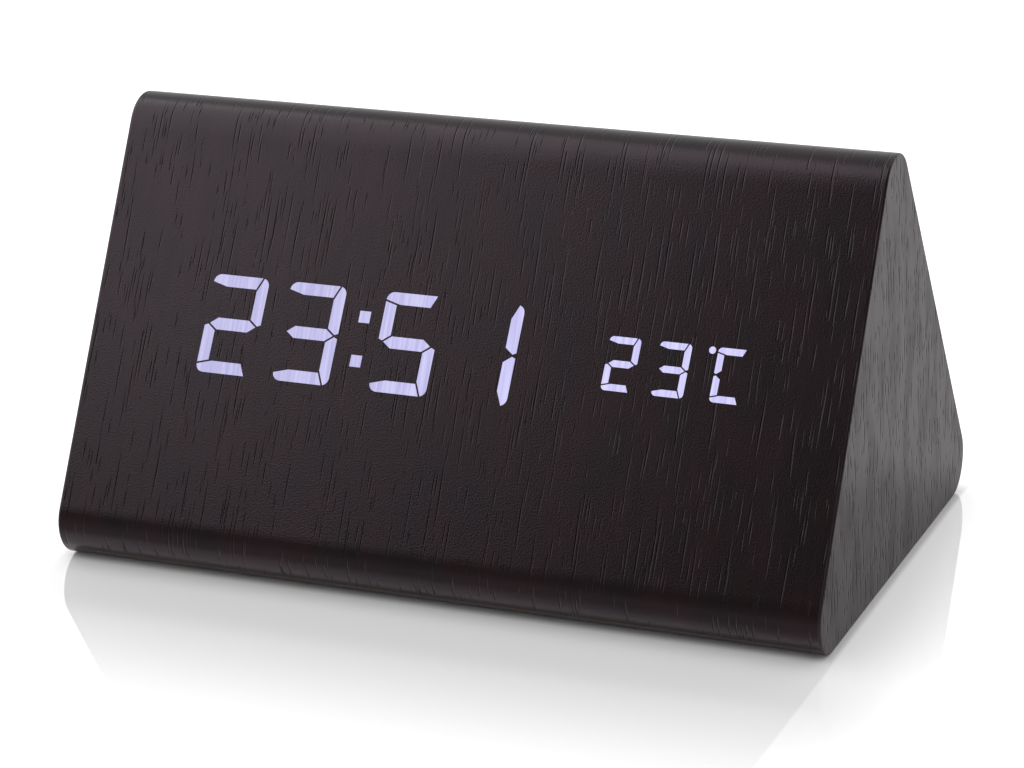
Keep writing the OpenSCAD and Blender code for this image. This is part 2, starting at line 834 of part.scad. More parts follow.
// The ribbon hangs between the two sockets
module ribbon_cable() {
    ribbon_in = socket_floor + 2 * socket_pin_w + ribbon_t;
    front_at = face_point(-1, socket_y + display_up, display_back_z - ribbon_in);
    back_at = face_point(1, socket_y + panel_up, main_back_z - ribbon_in);
    path = curve(front_at, ribbon_reach * inward(-1), back_at, ribbon_reach * inward(1), ribbon_steps);
    last = len(path) - 1;
    normals = [
        for (i = [0 : last])
            let (v = i == 0 ? inward(-1) : i == last ? -inward(1) : path[i + 1] - path[i - 1])
            [-v[1], v[0]] / norm(v)
    ];
    upper = [for (i = [0 : last]) path[i] + normals[i] * ribbon_t / 2];
    lower = [for (i = [last : -1 : 0]) path[i] - normals[i] * ribbon_t / 2];
    color("lightgray") along_x(-ribbon_w / 2, ribbon_w / 2) polygon(concat(upper, lower));
}

// A point of the profile plane: s is -1 for the front and 1 for the back, u up the face, z outwards
function face_point(s, u, z) =
    [s * side / 4, sharp_h / 2] + u * [-s * cos(60), sin(60)] + z * [s * sin(60), cos(60)];
function inward(s) = [-s * sin(60), -cos(60)];

// Rear panel and what stands behind it

module rear_panel() {
    color("#1d1d1f") on_back() difference() {
        union() {
            slab(0, -panel_t) rounded(panel_w - 2 * fit_gap, panel_h - 2 * fit_gap, panel_r - fit_gap);
            difference() {
                slab(-panel_t, -wall_t - sleeve_past) rounded(sleeve_w, sleeve_h, sleeve_r);
                slab(-panel_t, -wall_t - sleeve_past - 1)
                    square([sleeve_w - 2 * sleeve_t, sleeve_h - 2 * sleeve_t], center = true);
            }
            at_corners(boss_x, boss_y) translate([0, 0, main_pcb_z])
                cylinder(r = boss_r, h = -panel_t - main_pcb_z);
        }
        for (x = button_x) translate([x, 0, -panel_t - 1]) cylinder(r = cap_d / 2 + run_gap, h = panel_t + 2);
        translate([usb_x, 0, 0]) {
            slab(1, -usb_sink) rounded(usb_recess_w, usb_recess_h, usb_r);
            slab(1, -panel_t - 1) rounded(usb_w + 2 * fit_gap, usb_h + 2 * fit_gap, usb_r);
        }
        for (i = [0 : slot_count - 1])
            translate([beeper_x + (i - (slot_count - 1) / 2) * slot_step, 0, 0])
                slab(1, -panel_t - 1) rounded(slot_w, slot_h, slot_round);
        translate([mic_x, mic_y, -panel_t - 1]) cylinder(d = mic_hole_d, h = panel_t + 2);
        for (s = [-1, 1]) translate([s * panel_screw_x, 0, 0]) countersink();
        at_corners(boss_x, boss_y) translate([0, 0, main_back_z])
            cylinder(r = pcb_screw[0] + screw_gap, h = pcb_screw[3] + screw_gap);
    }
}

module main_pcb() {
    color("darkgreen") on_back() difference() {
        slab(main_pcb_z, main_back_z) square([main_pcb_w, main_pcb_h], center = true);
        at_corners(boss_x, boss_y) translate([0, 0, main_back_z - 1])
            cylinder(r = pcb_screw[0] + screw_gap, h = pcb_t + 2);
    }
}

module main_chip() {
    color("dimgray") on_back() translate([chip_x, chip_y, main_back_z]) mirror([0, 0, 1]) chip();
}

module main_socket() {
    color("ivory") on_back() translate([0, socket_y, main_back_z]) mirror([0, 0, 1]) socket();
}

module quartz_crystal() {
    color("silver") on_back() translate([crystal_x, 0, main_back_z - crystal_d / 2])
        rotate([90, 0, 0]) cylinder(d = crystal_d, h = crystal_l, center = true);
}

module reservoir_capacitor() {
    color("black") on_back() translate([capacitor_x, 0, main_back_z - capacitor_h])
        cylinder(d = capacitor_d, h = capacitor_h);
}

module push_switches() {
    color("#3b3b3d") on_back() for (x = button_x) translate([x, 0, main_pcb_z]) difference() {
        translate([-switch_w / 2, -switch_w / 2, 0]) cube([switch_w, switch_w, switch_h]);
        translate([0, 0, plunger_room]) cylinder(d = plunger_d + 2 * run_gap, h = switch_h);
    }
}

module usb_shell() {
    color("silver") on_back() translate([usb_x, 0, 0]) difference() {
        slab(-usb_sink, main_pcb_z) rounded(usb_w, usb_h, usb_r);
        slab(1, main_pcb_z + usb_floor) rounded(usb_w - 2 * usb_wall, usb_h - 2 * usb_wall, usb_r - usb_wall);
    }
}

module usb_tongue() {
    color("black") on_back() translate([usb_x, 0, 0])
        slab(-usb_sink - usb_tongue_sink, main_pcb_z + usb_floor)
            square([usb_tongue_w, usb_tongue_t], center = true);
}

module beeper() {
    top = -panel_t - beeper_gap;
    color("black") on_back() translate([beeper_x, 0, main_pcb_z]) difference() {
        cylinder(d = beeper_d, h = top - main_pcb_z);
        translate([0, 0, top - main_pcb_z - 1]) cylinder(d = beeper_hole_d, h = 2);
    }
}

module microphone() {
    color("silver") on_back() translate([mic_x, mic_y, main_pcb_z]) difference() {
        cylinder(d = mic_d, h = mic_h);
        translate([0, 0, mic_h - mic_hole_depth]) cylinder(d = mic_hole_d, h = 2 * mic_hole_depth);
    }
}

module thermistor() {
    color("black") on_back() translate([bead_x, bead_y, main_pcb_z]) {
        translate([0, 0, bead_rise]) sphere(d = bead_d);
        for (s = [-1, 1]) translate([s * bead_lead_step / 2, 0, 0]) cylinder(d = bead_lead_d, h = bead_rise);
    }
}

// Buttons: a cap with a collar, on the plunger of its switch

module button(i) {
    bottom = -panel_t - collar_gap - collar_t;
    color("#2a2a2c") on_back() translate([button_x[i], 0, 0]) union() {
        translate([0, 0, bottom]) cylinder(r = cap_d / 2 + collar_lap, h = collar_t);
        translate([0, 0, bottom]) rotate_extrude() polygon(concat(
            [[0, 0], [cap_d / 2, 0]],
            [for (a = [0 : cap_round_step : 90])
                [cap_d / 2 - cap_round, cap_proud - bottom - cap_round] + cap_round * dir(a)],
            [[0, cap_proud - bottom]]
        ));
    }
}

module plunger(i) {
    top = -panel_t - collar_gap - collar_t;
    low = main_pcb_z + plunger_room + button_travel + press_gap;
    color("ivory") on_back() translate([button_x[i], 0, low]) cylinder(d = plunger_d, h = top - low);
}

// Battery compartment

module battery_box() {
    color("#1d1d1f") difference() {
        union() {
            slab(base_recess, flange_top) rounded(flange_l, flange_w, flange_r - fit_gap);
            slab(base_recess, box_top) rounded(box_l, box_w, sleeve_r);
        }
        slab(flange_top - 1, bay_top) square([bay_l, bay_w], center = true);
        slab(base_recess - 1, flange_top) square([opening_l, opening_w], center = true);
        for (s = [-1, 1]) translate([s * opening_l / 2, hinge_y, hinge_z]) rotate([0, s * 90, 0])
            translate([0, 0, -1]) cylinder(r = pin_r + run_gap, h = pin_l + 1 + door_gap);
        translate([0, -opening_w / 2, base_recess - 1]) cylinder(d = notch_d, h = 1 + notch_depth);
        at_corners(box_screw_x, box_screw_y) translate([0, 0, base_recess]) mirror([0, 0, 1]) countersink();
        for (i = [0, cell_count - 1])
            translate([cell_side(0) * (i == 0 ? 1 : -1) * (bay_l - contact_t) / 2, cell_y(i), bay_top])
                cube([contact_t + 2 * tag_gap, tag_w + 2 * tag_gap, 4 * box_t], center = true);
    }
}

module battery_door() {
    color("#232325") difference() {
        union() {
            translate([-door_l / 2, door_front_y, base_recess])
                cube([door_l, hinge_y - door_front_y, door_t]);
            translate([-door_l / 2, hinge_y, hinge_z]) rotate([0, 90, 0]) cylinder(r = barrel_r, h = door_l);
            translate([-door_l / 2 - pin_l, hinge_y, hinge_z]) rotate([0, 90, 0])
                cylinder(r = pin_r, h = door_l + 2 * pin_l);
            translate([-latch_w / 2, -bay_w / 2 + latch_gap, base_recess + door_t - latch_root])
                cube([latch_w, latch_t, latch_h + latch_root]);
        }
        for (i = [0 : rib_count - 1])
            translate([-latch_w / 2, door_front_y + rib_in + i * rib_step, base_recess - 1])
                cube([latch_w, rib_w, 1 + rib_h]);
    }
}

module plate(s, i, count) {
    span = plate_w + (count - 1) * cell_step;
    translate([s > 0 ? bay_l / 2 - contact_t : -bay_l / 2, cell_y(i) - plate_w / 2, cell_z - plate_h / 2])
        cube([contact_t, span, plate_h]);
}

module tag(s, i) {
    translate([s > 0 ? bay_l / 2 - contact_t : -bay_l / 2, cell_y(i) - tag_w / 2, cell_z])
        cube([contact_t, tag_w, box_top + tag_rise - cell_z]);
}

module contact_plates() {
    last = cell_count - 1;
    color("silver") {
        plate(1, 0, 1);
        tag(1, 0);
        plate(-1, 0, 2);
        plate(1, 1, 2);
        plate(-1, last, 1);
        tag(-1, last);
    }
}

// A contact spring: one wire that narrows from the plate to the cell
spring_gap = 0.05;
spring_run = spring_l - spring_wire - 2 * spring_gap;
spring_points = [
    for (i = [0 : spring_turns * spring_rings])
        let (
            s = i / (spring_turns * spring_rings),
            r = spring_r_plate + s * (spring_r_cell - spring_r_plate),
            turn = 360 * i / spring_rings
        )
        [spring_wire / 2 + spring_gap + s * spring_run, r * cos(turn), r * sin(turn)]
];
spring_least_gap = min([
    for (i = [0 : (spring_turns - 1) * spring_rings]) norm(spring_points[i + spring_rings] - spring_points[i])
]) - spring_wire;
echo(contact_spring_least_gap_mm = spring_least_gap);

module contact_springs() {
    color("gold") for (i = [0 : cell_count - 1]) {
        s = -cell_side(i);
        translate([s * (bay_l / 2 - contact_t), cell_y(i), cell_z]) rotate([0, 0, s > 0 ? 180 : 0])
            tube(spring_points, spring_wire / 2, spring_sides);
    }
}

module battery_cells() {
    can_l = cell_l - nub_h;
    r = cell_d / 2;
    color("slategray") for (i = [0 : cell_count - 1])
        translate([-cell_side(i) * (cell_l / 2 - spring_l / 2), cell_y(i), cell_z])
            rotate([0, cell_side(i) * 90, 0]) rotate_extrude() polygon([
                [0, 0], [r - cell_edge, 0], [r, cell_edge], [r, can_l - cell_edge], [r - cell_edge, can_l],
                [nub_d / 2, can_l], [nub_d / 2, cell_l], [0, cell_l]
            ]);
}

// A wire from a contact tag to the main board: s is 1 for the button end of the row of cells
module battery_lead(s) {
    back_in = [0, inward(1)[0], inward(1)[1]];
    i = s > 0 ? 0 : cell_count - 1;
    pad = face_point(1, lead_pad_y + panel_up, main_back_z - lead_gap);
    from = [s * (bay_l - contact_t) / 2, cell_y(i), box_top + tag_rise + lead_gap];
    to = [s * lead_pad_x, pad[0], pad[1]];
    tube(curve(from, [0, 0, lead_rise], to, lead_reach * back_in, lead_rings), lead_d / 2, lead_sides);
}

module positive_lead() {
    color("firebrick") battery_lead(1);
}

module negative_lead() {
    color("black") battery_lead(-1);
}

// Screws

module pan_screws() {
    color("silver") {
        on_front() translate([display_x, 0, display_back_z])
            at_corners(display_screw_x, display_screw_y) mirror([0, 0, 1]) screw(pcb_screw, false);
        on_back() translate([0, 0, main_back_z])
            at_corners(boss_x, boss_y) mirror([0, 0, 1]) screw(pcb_screw, false);
    }
}

module countersunk_screws() {
    color("silver") {
        on_back() for (s = [-1, 1])
            translate([s * panel_screw_x, 0, -panel_screw_sink]) screw(panel_screw, true);
        at_corners(box_screw_x, box_screw_y)
            translate([0, 0, base_recess + panel_screw_sink]) mirror([0, 0, 1]) screw(panel_screw, true);
    }
}

front_board();
back_board();
base_board();
end_board(-1);  // left_end_board
end_board(1);  // right_end_board
wrap_skin();
base_skin();
seam_strips();
end_skin(-1);  // left_end_skin
end_skin(1);  // right_end_skin
lit_time();
lit_temperature();
diffuser_film();
segment_reflector();
display_leds();
display_pcb();
driver_chip();
display_socket();
ribbon_cable();
rear_panel();
main_pcb();
main_chip();
main_socket();
quartz_crystal();
reservoir_capacitor();
push_switches();
usb_shell();
usb_tongue();
beeper();
microphone();
thermistor();
button(0);  // set_button
button(1);  // up_button
button(2);  // down_button
plunger(0);  // set_plunger
plunger(1);  // up_plunger
plunger(2);  // down_plunger
battery_box();
battery_door();
contact_plates();
contact_springs();
battery_cells();
positive_lead();
negative_lead();
pan_screws();
countersunk_screws();
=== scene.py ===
# %% [markdown]
# A wooden desk clock, dressed in Blender
#
# The clock is a lying triangular prism of fibreboard, wrapped in a dark film with a wood grain. Its time
# and temperature shine through the film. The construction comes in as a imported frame, one mesh per piece,
# and this lesson gives every piece its finish: first the studio, then the grain, then each material, then
# the pieces that need finer edges than the construction gives them.

# %% Load the frame
import math

import bmesh
import bpy
from mathutils import Matrix, Vector


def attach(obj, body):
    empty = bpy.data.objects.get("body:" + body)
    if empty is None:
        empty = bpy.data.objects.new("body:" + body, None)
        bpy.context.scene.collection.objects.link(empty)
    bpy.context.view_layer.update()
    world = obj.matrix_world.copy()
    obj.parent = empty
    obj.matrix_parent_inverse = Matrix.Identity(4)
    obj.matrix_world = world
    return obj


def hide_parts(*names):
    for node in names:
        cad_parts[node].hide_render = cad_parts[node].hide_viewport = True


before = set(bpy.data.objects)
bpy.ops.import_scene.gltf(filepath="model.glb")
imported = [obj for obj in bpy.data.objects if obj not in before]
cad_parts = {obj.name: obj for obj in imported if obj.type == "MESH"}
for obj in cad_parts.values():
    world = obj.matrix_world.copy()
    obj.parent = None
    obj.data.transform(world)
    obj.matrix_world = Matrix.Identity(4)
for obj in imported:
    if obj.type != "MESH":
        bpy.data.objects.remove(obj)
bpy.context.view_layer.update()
scene = bpy.context.scene
MM = 0.001

# %% [markdown]
# The camera stands to the right of the clock and above it, with a long lens, as for a catalogue picture.
# It could be turned by hand until it looks right. Here its angles come from fitting the outline of the
# prism, so they are written as three angles and a distance from a point inside the clock.

# %% Camera
CAMERA_AIM = Vector((-0.00016, -0.00071, 0.02841))
CAMERA_DISTANCE = 0.66849
CAMERA_AZIMUTH = math.radians(23.355)
CAMERA_ELEVATION = math.radians(20.246)
CAMERA_ROLL = math.radians(-2.044)
CAMERA_LENS = 124.59


def aimed(target, towards, distance, spin):
    """A matrix that looks at a target from a direction and a distance, spun about its line of sight."""
    turn = (-towards).to_track_quat("-Z", "Y").to_matrix() @ Matrix.Rotation(spin, 3, "Z")
    return Matrix.Translation(target + towards * distance) @ turn.to_4x4()


camera_direction = Vector((
    math.sin(CAMERA_AZIMUTH) * math.cos(CAMERA_ELEVATION),
    -math.cos(CAMERA_AZIMUTH) * math.cos(CAMERA_ELEVATION),
    math.sin(CAMERA_ELEVATION),
))
camera = bpy.data.objects.new("camera", bpy.data.cameras.new("camera"))
camera.data.lens = CAMERA_LENS
camera.data.sensor_width = 36
camera.data.clip_end = 50
camera.matrix_world = aimed(CAMERA_AIM, camera_direction, CAMERA_DISTANCE, CAMERA_ROLL)
scene.collection.objects.link(camera)
scene.camera = camera
scene.view_settings.view_transform = "Standard"
print("camera at", [round(x, 3) for x in camera.location])

# %% [markdown]
# Shader nodes are added in the world and in every material below. They could be placed one by one in the
# editor. In a script, one line for each node, with its values and links, reads better, so small helpers
# come first.

# %% Node helpers
def add(tree, kind, inputs=None, **settings):
    """Adds a shader node. Inputs map a socket's name or number to a value or to another socket."""
    made = tree.nodes.new("ShaderNode" + kind)
    for name, value in settings.items():
        setattr(made, name, value)
    for name, value in (inputs or {}).items():
        if isinstance(value, bpy.types.NodeSocket):
            tree.links.new(value, made.inputs[name])
        else:
            made.inputs[name].default_value = value
    return made


def maths(tree, operation, a, b=0.0):
    """One Math node, and its value."""
    return add(tree, "Math", {0: a, 1: b}, operation=operation).outputs[0]


def remap(tree, value, low, high, to_low=0.0, to_high=1.0):
    """Stretches a value's range smoothly from low..high to another range."""
    ranged = add(tree, "MapRange", {0: value, 1: low, 2: high, 3: to_low, 4: to_high},
                 interpolation_type="SMOOTHSTEP")
    return ranged.outputs[0]


def blend_colours(tree, share, a, b):
    """A colour that goes from a to b with a share from 0 to 1."""
    mix = add(tree, "Mix", {"Factor": share, 6: a, 7: b}, data_type="RGBA")
    return mix.outputs[2]

# %% [markdown]
# The studio has a bright surround behind the clock and a dark room in front of it, with a glow above its
# horizon. Walls could be modelled for that. It is simpler to give the world one level for its light and
# another for what glossy surfaces mirror. The dark room keeps the front film deep brown, the glow shows
# in the low rounding of the front, and the end of the clock mirrors the bright surround at a low angle,
# so it looks grey.

# %% Surround
SURROUND_LEVEL = 1.0
MIRRORED_LEVEL = 0.92
ROOM_FROM, ROOM_TO = 0.08, 0.20
GLOW_LEVEL = 0.34
GLOW_FROM, GLOW_TO = 0.20, 0.52

world = bpy.data.worlds.new("studio")
world.use_nodes = True
scene.world = world
tree = world.node_tree
tree.nodes.clear()
ray = add(tree, "LightPath").outputs
direction = add(tree, "SeparateXYZ", {0: add(tree, "TexCoord").outputs["Generated"]}).outputs
behind = remap(tree, direction["Y"], ROOM_FROM, ROOM_TO, 0.0, MIRRORED_LEVEL)
glow = remap(tree, direction["Z"], GLOW_FROM, GLOW_TO, GLOW_LEVEL, 0.0)
room = maths(tree, "MAXIMUM", behind, glow)
mirrored = add(tree, "Mix", {"Factor": ray["Is Glossy Ray"], 2: SURROUND_LEVEL, 3: room})
sky = add(tree, "Background", {"Color": (1, 1, 1, 1), "Strength": mirrored.outputs[0]})
add(tree, "OutputWorld", {0: sky.outputs[0]})
print("surround level", SURROUND_LEVEL, "and mirrored level", MIRRORED_LEVEL)

# %% [markdown]
# A large softbox hangs above and to the left. It gives the film its sheen, which is even along the ridge,
# clear at the left of the front, and dies away to the right. Its place, size and spin follow from the
# mirror directions of the front and the ridge. It is there for the sheen alone, so diffuse surfaces don't
# see it: the surround lights them at a level of one, and their colours come out as they are written.

# %% Softbox
SOFTBOX_DIRECTION = Vector((-0.604, -0.217, 0.767)).normalized()
SOFTBOX_DISTANCE = 1.3
SOFTBOX_SIZE = (1.42, 1.43)
SOFTBOX_SPIN = math.radians(29)
SOFTBOX_RADIANCE = 2.6

softbox = bpy.data.objects.new("softbox", bpy.data.lights.new("softbox", "AREA"))
softbox.data.shape = "RECTANGLE"
softbox.data.size, softbox.data.size_y = SOFTBOX_SIZE
softbox.data.energy = SOFTBOX_RADIANCE * math.pi * SOFTBOX_SIZE[0] * SOFTBOX_SIZE[1]
softbox.matrix_world = aimed(Vector(), SOFTBOX_DIRECTION, SOFTBOX_DISTANCE, SOFTBOX_SPIN)
softbox.visible_diffuse = False
softbox.visible_camera = False
scene.collection.objects.link(softbox)
print("softbox of", round(softbox.data.energy, 1), "W")

# %% [markdown]
# The floor is a glossy white sheet that mirrors the clock close by. A clear sheet could lie over a white
# one. Here one sheet does both, because a little metal and a high index of refraction make white mirror
# like lacquer. Every finish is one Principled shader, so a helper opens a material and hands over its
# sockets.

# %% Floor sheet
FLOOR_HALF = 4.0
FLOOR_WHITE = (0.98, 0.98, 0.98, 1)
FLOOR_GLOSS_IOR = 2.8
FLOOR_ROUGHNESS = 0.025
FLOOR_MIRROR = 0.12


def open_material(name, **sockets):
    """A new material, its node tree and its shader's sockets, whose names are written with underscores."""
    material = bpy.data.materials.new(name)
    material.use_nodes = True
    shader = material.node_tree.nodes["Principled BSDF"]
    for label, value in sockets.items():
        shader.inputs[label.replace("_", " ")].default_value = value
    return material, material.node_tree, shader.inputs


def tie(tree, output, socket):
    """Links an output to a socket."""
    tree.links.new(output, socket)


floor_finish, floor_tree, floor_shader = open_material(
    "floor", Base_Color=FLOOR_WHITE, Roughness=FLOOR_ROUGHNESS, IOR=FLOOR_GLOSS_IOR, Metallic=FLOOR_MIRROR,
    Emission_Color=(1, 1, 1, 1))
floor_mesh = bpy.data.meshes.new("floor")
shape = bmesh.new()
bmesh.ops.create_grid(shape, x_segments=1, y_segments=1, size=FLOOR_HALF)
shape.to_mesh(floor_mesh)
shape.free()
floor_mesh.materials.append(floor_finish)
floor = bpy.data.objects.new("floor", floor_mesh)
scene.collection.objects.link(floor)
print("floor", 2 * FLOOR_HALF, "m wide")

# %% [markdown]
# The mirror image and the contact shadow fade with the distance from the clock's foot, so that the floor
# is plain white around it. A gradient could be laid over the picture, but it would slide in other views.
# Here the fade is a mask on the floor's own coordinates, slow towards the front and quick at the left
# end. It only brightens what the camera sees, not the light on the clock.

# %% Fade round the foot
FADE_LEVEL = 0.32
# Each side of the foot: its axis and way, and the place of its edge, then the reach and the level of the
# lift that starts at the edge, then where past the edge the fade starts and how far it reaches
FADE_SIDES = (
    ("X", 1, 0.0755, 0.0014, 0.235, 0.000, 0.031),
    ("X", -1, 0.0740, 0.0040, 0.20, 0.000, 0.008),
    ("Y", 1, 0.0400, 0.0060, 0.20, 0.000, 0.020),
    ("Y", -1, 0.0405, 0.0030, 0.125, 0.015, 0.052),
)

spot = add(floor_tree, "SeparateXYZ", {0: add(floor_tree, "TexCoord").outputs["Object"]}).outputs
past = {"X": 0.0, "Y": 0.0}
lift = 0.0
for along, way, edge, near, level, start, reach in FADE_SIDES:
    beyond = maths(floor_tree, "SUBTRACT", maths(floor_tree, "MULTIPLY", spot[along], way), edge)
    share = maths(floor_tree, "DIVIDE", maths(floor_tree, "SUBTRACT", beyond, start), reach)
    past[along] = maths(floor_tree, "MAXIMUM", share, past[along])
    lift = maths(floor_tree, "MAXIMUM", remap(floor_tree, beyond, 0.0, near, 0.0, level), lift)
squares = [maths(floor_tree, "POWER", past[along], 2.0) for along in past]
away = maths(floor_tree, "SQRT", maths(floor_tree, "ADD", *squares))
fade = maths(floor_tree, "ADD", remap(floor_tree, away, 0.0, 1.0, 0.0, FADE_LEVEL), lift)
seen = add(floor_tree, "LightPath").outputs["Is Camera Ray"]
tie(floor_tree, maths(floor_tree, "MULTIPLY", fade, seen), floor_shader["Emission Strength"])
print("fade on", len(FADE_SIDES), "sides of the foot")

# %% [markdown]
# An effect that several materials share is a node group: it takes named inputs and gives back masks and
# heights. Three helpers open a group, close it and place it in a material with values of its own.

# %% Group helpers
def open_group(name, inputs, outputs):
    """A new shader node group. Inputs are name: first value, and outputs are names of values."""
    group = bpy.data.node_groups.new(name, "ShaderNodeTree")
    for label, first in inputs.items():
        kind = "NodeSocketFloat" if isinstance(first, float) else "NodeSocketVector"
        group.interface.new_socket(label, in_out="INPUT", socket_type=kind).default_value = first
    for label in outputs:
        group.interface.new_socket(label, in_out="OUTPUT", socket_type="NodeSocketFloat")
    return group, group.nodes.new("NodeGroupInput").outputs


def close_group(group, **values):
    """Ties the group's outputs, whose spaces are written as underscores."""
    end = group.nodes.new("NodeGroupOutput")
    for label, value in values.items():
        group.links.new(value, end.inputs[label.replace("_", " ")])
    print("group", group.name, "with", len(group.nodes), "nodes")
    return group


def use_group(tree, group, **inputs):
    """Places a group in a material, with its own values."""
    made = tree.nodes.new("ShaderNodeGroup")
    made.node_tree = group
    for label, value in inputs.items():
        socket = made.inputs[label.replace("_", " ")]
        if isinstance(value, bpy.types.NodeSocket):
            tree.links.new(value, socket)
        else:
            socket.default_value = value
    return made.outputs

# %% [markdown]
# The film is embossed with open pores: thin dashes along the grain, a third of a millimetre wide and a
# few millimetres long. They could be painted, but then they would look the same in any light. Here they
# are grooves. A Voronoi texture on a stretched grid puts one dash in each cell, and the cell's own colour
# decides whether the dash is there and how long it is. Coordinates are in millimetres, across and along
# the grain.

# %% Pores
WOBBLE_PER_MM = (0.045, 0.045)
WOBBLE_MM = 0.9
PORE_SCATTER = 0.9
PORE_LEAST = 0.65


def stretched_noise(tree, vector, per_mm, detail):
    """Noise with its own number of features in a millimetre, across and along the grain."""
    scaled = add(tree, "VectorMath", {0: vector, 1: (*per_mm, 1.0)}, operation="MULTIPLY").outputs[0]
    return add(tree, "TexNoise", {"Vector": scaled, "Scale": 1.0, "Detail": detail}).outputs[0]


pores, given = open_group("pores", {
    "Vector": (0.0, 0.0, 0.0), "Cell": (0.5, 20.0, 1.0), "Share": 0.3, "Radius": 0.3,
}, ["Pore"])
drift = stretched_noise(pores, given["Vector"], WOBBLE_PER_MM, detail=1.0)
sideways = add(pores, "CombineXYZ", {0: maths(pores, "MULTIPLY", drift, WOBBLE_MM)}).outputs[0]
wavy = add(pores, "VectorMath", {0: given["Vector"], 1: sideways}, operation="ADD").outputs[0]
celled = add(pores, "VectorMath", {0: wavy, 1: given["Cell"]}, operation="DIVIDE").outputs[0]
scattered = {"Vector": celled, "Scale": 1.0, "Randomness": PORE_SCATTER}
dash = add(pores, "TexVoronoi", scattered, voronoi_dimensions="2D").outputs
chance = add(pores, "SeparateColor", {0: dash["Color"]}).outputs
there = maths(pores, "LESS_THAN", chance[0], given["Share"])
reach = maths(pores, "MULTIPLY", given["Radius"], remap(pores, chance[1], 0.0, 1.0, PORE_LEAST, 1.0))
inside = maths(pores, "SUBTRACT", 1.0, maths(pores, "DIVIDE", dash["Distance"], reach))
pores = close_group(pores, Pore=maths(pores, "MULTIPLY", maths(pores, "MAXIMUM", inside, 0.0), there))

# %% [markdown]
# The whole film is a group too, because the front, the ends and the lit segments share it. It adds long
# and short pores in clusters, a fine skin like orange peel, and soft streaks and patches of colour. A
# noise keeps mostly to the middle of its range, so that middle is stretched wherever a noise becomes a
# mask.

# %% Film grain
LONG_CELL = (0.70, 24.0, 1.0)
SHORT_CELL = (0.60, 10.0, 1.0)
SHORT_SHIFT = (37.3, 11.9, 0.0)
PORE_RADIUS = 0.30
PEEL_PER_MM = (3.3, 3.3)
CLUSTER_PER_MM = (0.2, 0.07)
CLUSTER_SHARES = (0.5, 1.6)
STREAK_PER_MM = (0.5, 0.03)
STREAK_MIDDLE = (0.35, 0.7)
PATCH_PER_MM = (0.11, 0.06)
NOISE_MIDDLE = (0.35, 0.65)

film, given = open_group("film grain", {
    "Vector": (0.0, 0.0, 0.0), "Share": 0.2, "Pore Depth": 0.03, "Skin Depth": 0.020,
}, ["Pore", "Height", "Streak", "Patch"])
position = given["Vector"]
moved = add(film, "VectorMath", {0: position, 1: SHORT_SHIFT}, operation="ADD").outputs[0]
clusters = stretched_noise(film, position, CLUSTER_PER_MM, detail=2.0)
share = maths(film, "MULTIPLY", given["Share"], remap(film, clusters, *NOISE_MIDDLE, *CLUSTER_SHARES))
common = {"Share": share, "Radius": PORE_RADIUS}
long_pore = use_group(film, pores, Vector=position, Cell=LONG_CELL, **common)["Pore"]
short_pore = use_group(film, pores, Vector=moved, Cell=SHORT_CELL, **common)["Pore"]
pore = maths(film, "MAXIMUM", long_pore, short_pore)
sunk = maths(film, "MULTIPLY", pore, maths(film, "MULTIPLY", given["Pore Depth"], -1.0))
rough_skin = stretched_noise(film, position, PEEL_PER_MM, detail=0.0)
peel = maths(film, "MULTIPLY", rough_skin, given["Skin Depth"])
streak = remap(film, stretched_noise(film, position, STREAK_PER_MM, detail=4.0), *STREAK_MIDDLE)
patch = remap(film, stretched_noise(film, position, PATCH_PER_MM, detail=2.0), *NOISE_MIDDLE)
film = close_group(film, Pore=pore, Height=maths(film, "ADD", sunk, peel), Streak=streak, Patch=patch)

# %% [markdown]
# A film needs coordinates in millimetres that lie flat on it. On the wrap they are a UV map, the length
# along the clock and the length round its profile, a triangle with rounded edges. Flat faces read Object
# coordinates through a Mapping node that lays their plane flat. An end's grain is upright and coarser
# across.

# %% Film coordinates
PROFILE_SIDE = 0.100
EDGE_RADIUS = 0.007
FLAT_HALF = PROFILE_SIDE / 2 - EDGE_RADIUS * math.sqrt(3)
FACE_STEP = 2 * FLAT_HALF + EDGE_RADIUS * 2 * math.pi / 3
SHARP_HEIGHT = PROFILE_SIDE * math.sqrt(3) / 2
FRONT_MIDDLE = Vector((0, -PROFILE_SIDE / 4, SHARP_HEIGHT / 2))
FRONT_TURN = (60, 0, 0)
END_TURN = (90, 0, 90)
END_COARSE = (2.3, 0.5, 1.0)


def object_mm(tree, at=(0, 0, 0), turn=(0, 0, 0)):
    """Object coordinates in millimetres, from a point, in a frame turned by degrees."""
    return add(tree, "Mapping", {
        "Vector": add(tree, "TexCoord").outputs["Object"], "Location": at,
        "Rotation": [math.radians(a) for a in turn], "Scale": (MM, MM, MM),
    }, vector_type="TEXTURE").outputs[0]


def wrap_place(tree):
    """Along the clock, and round its profile from the middle of the front."""
    return add(tree, "UVMap", uv_map="grain").outputs[0]


def front_place(tree):
    """Along the clock and up the front, from its middle, as the wrap's own map runs there."""
    return object_mm(tree, FRONT_MIDDLE, FRONT_TURN)


def end_place(tree):
    """Across and up an end, with its coarser grain."""
    flat = object_mm(tree, (0, 0, 0), END_TURN)
    return add(tree, "VectorMath", {0: flat, 1: END_COARSE}, operation="DIVIDE").outputs[0]


print("wrap:", round(FLAT_HALF * 2 / MM, 1), "mm of flat on each face, and", EDGE_RADIUS / MM, "mm edges")
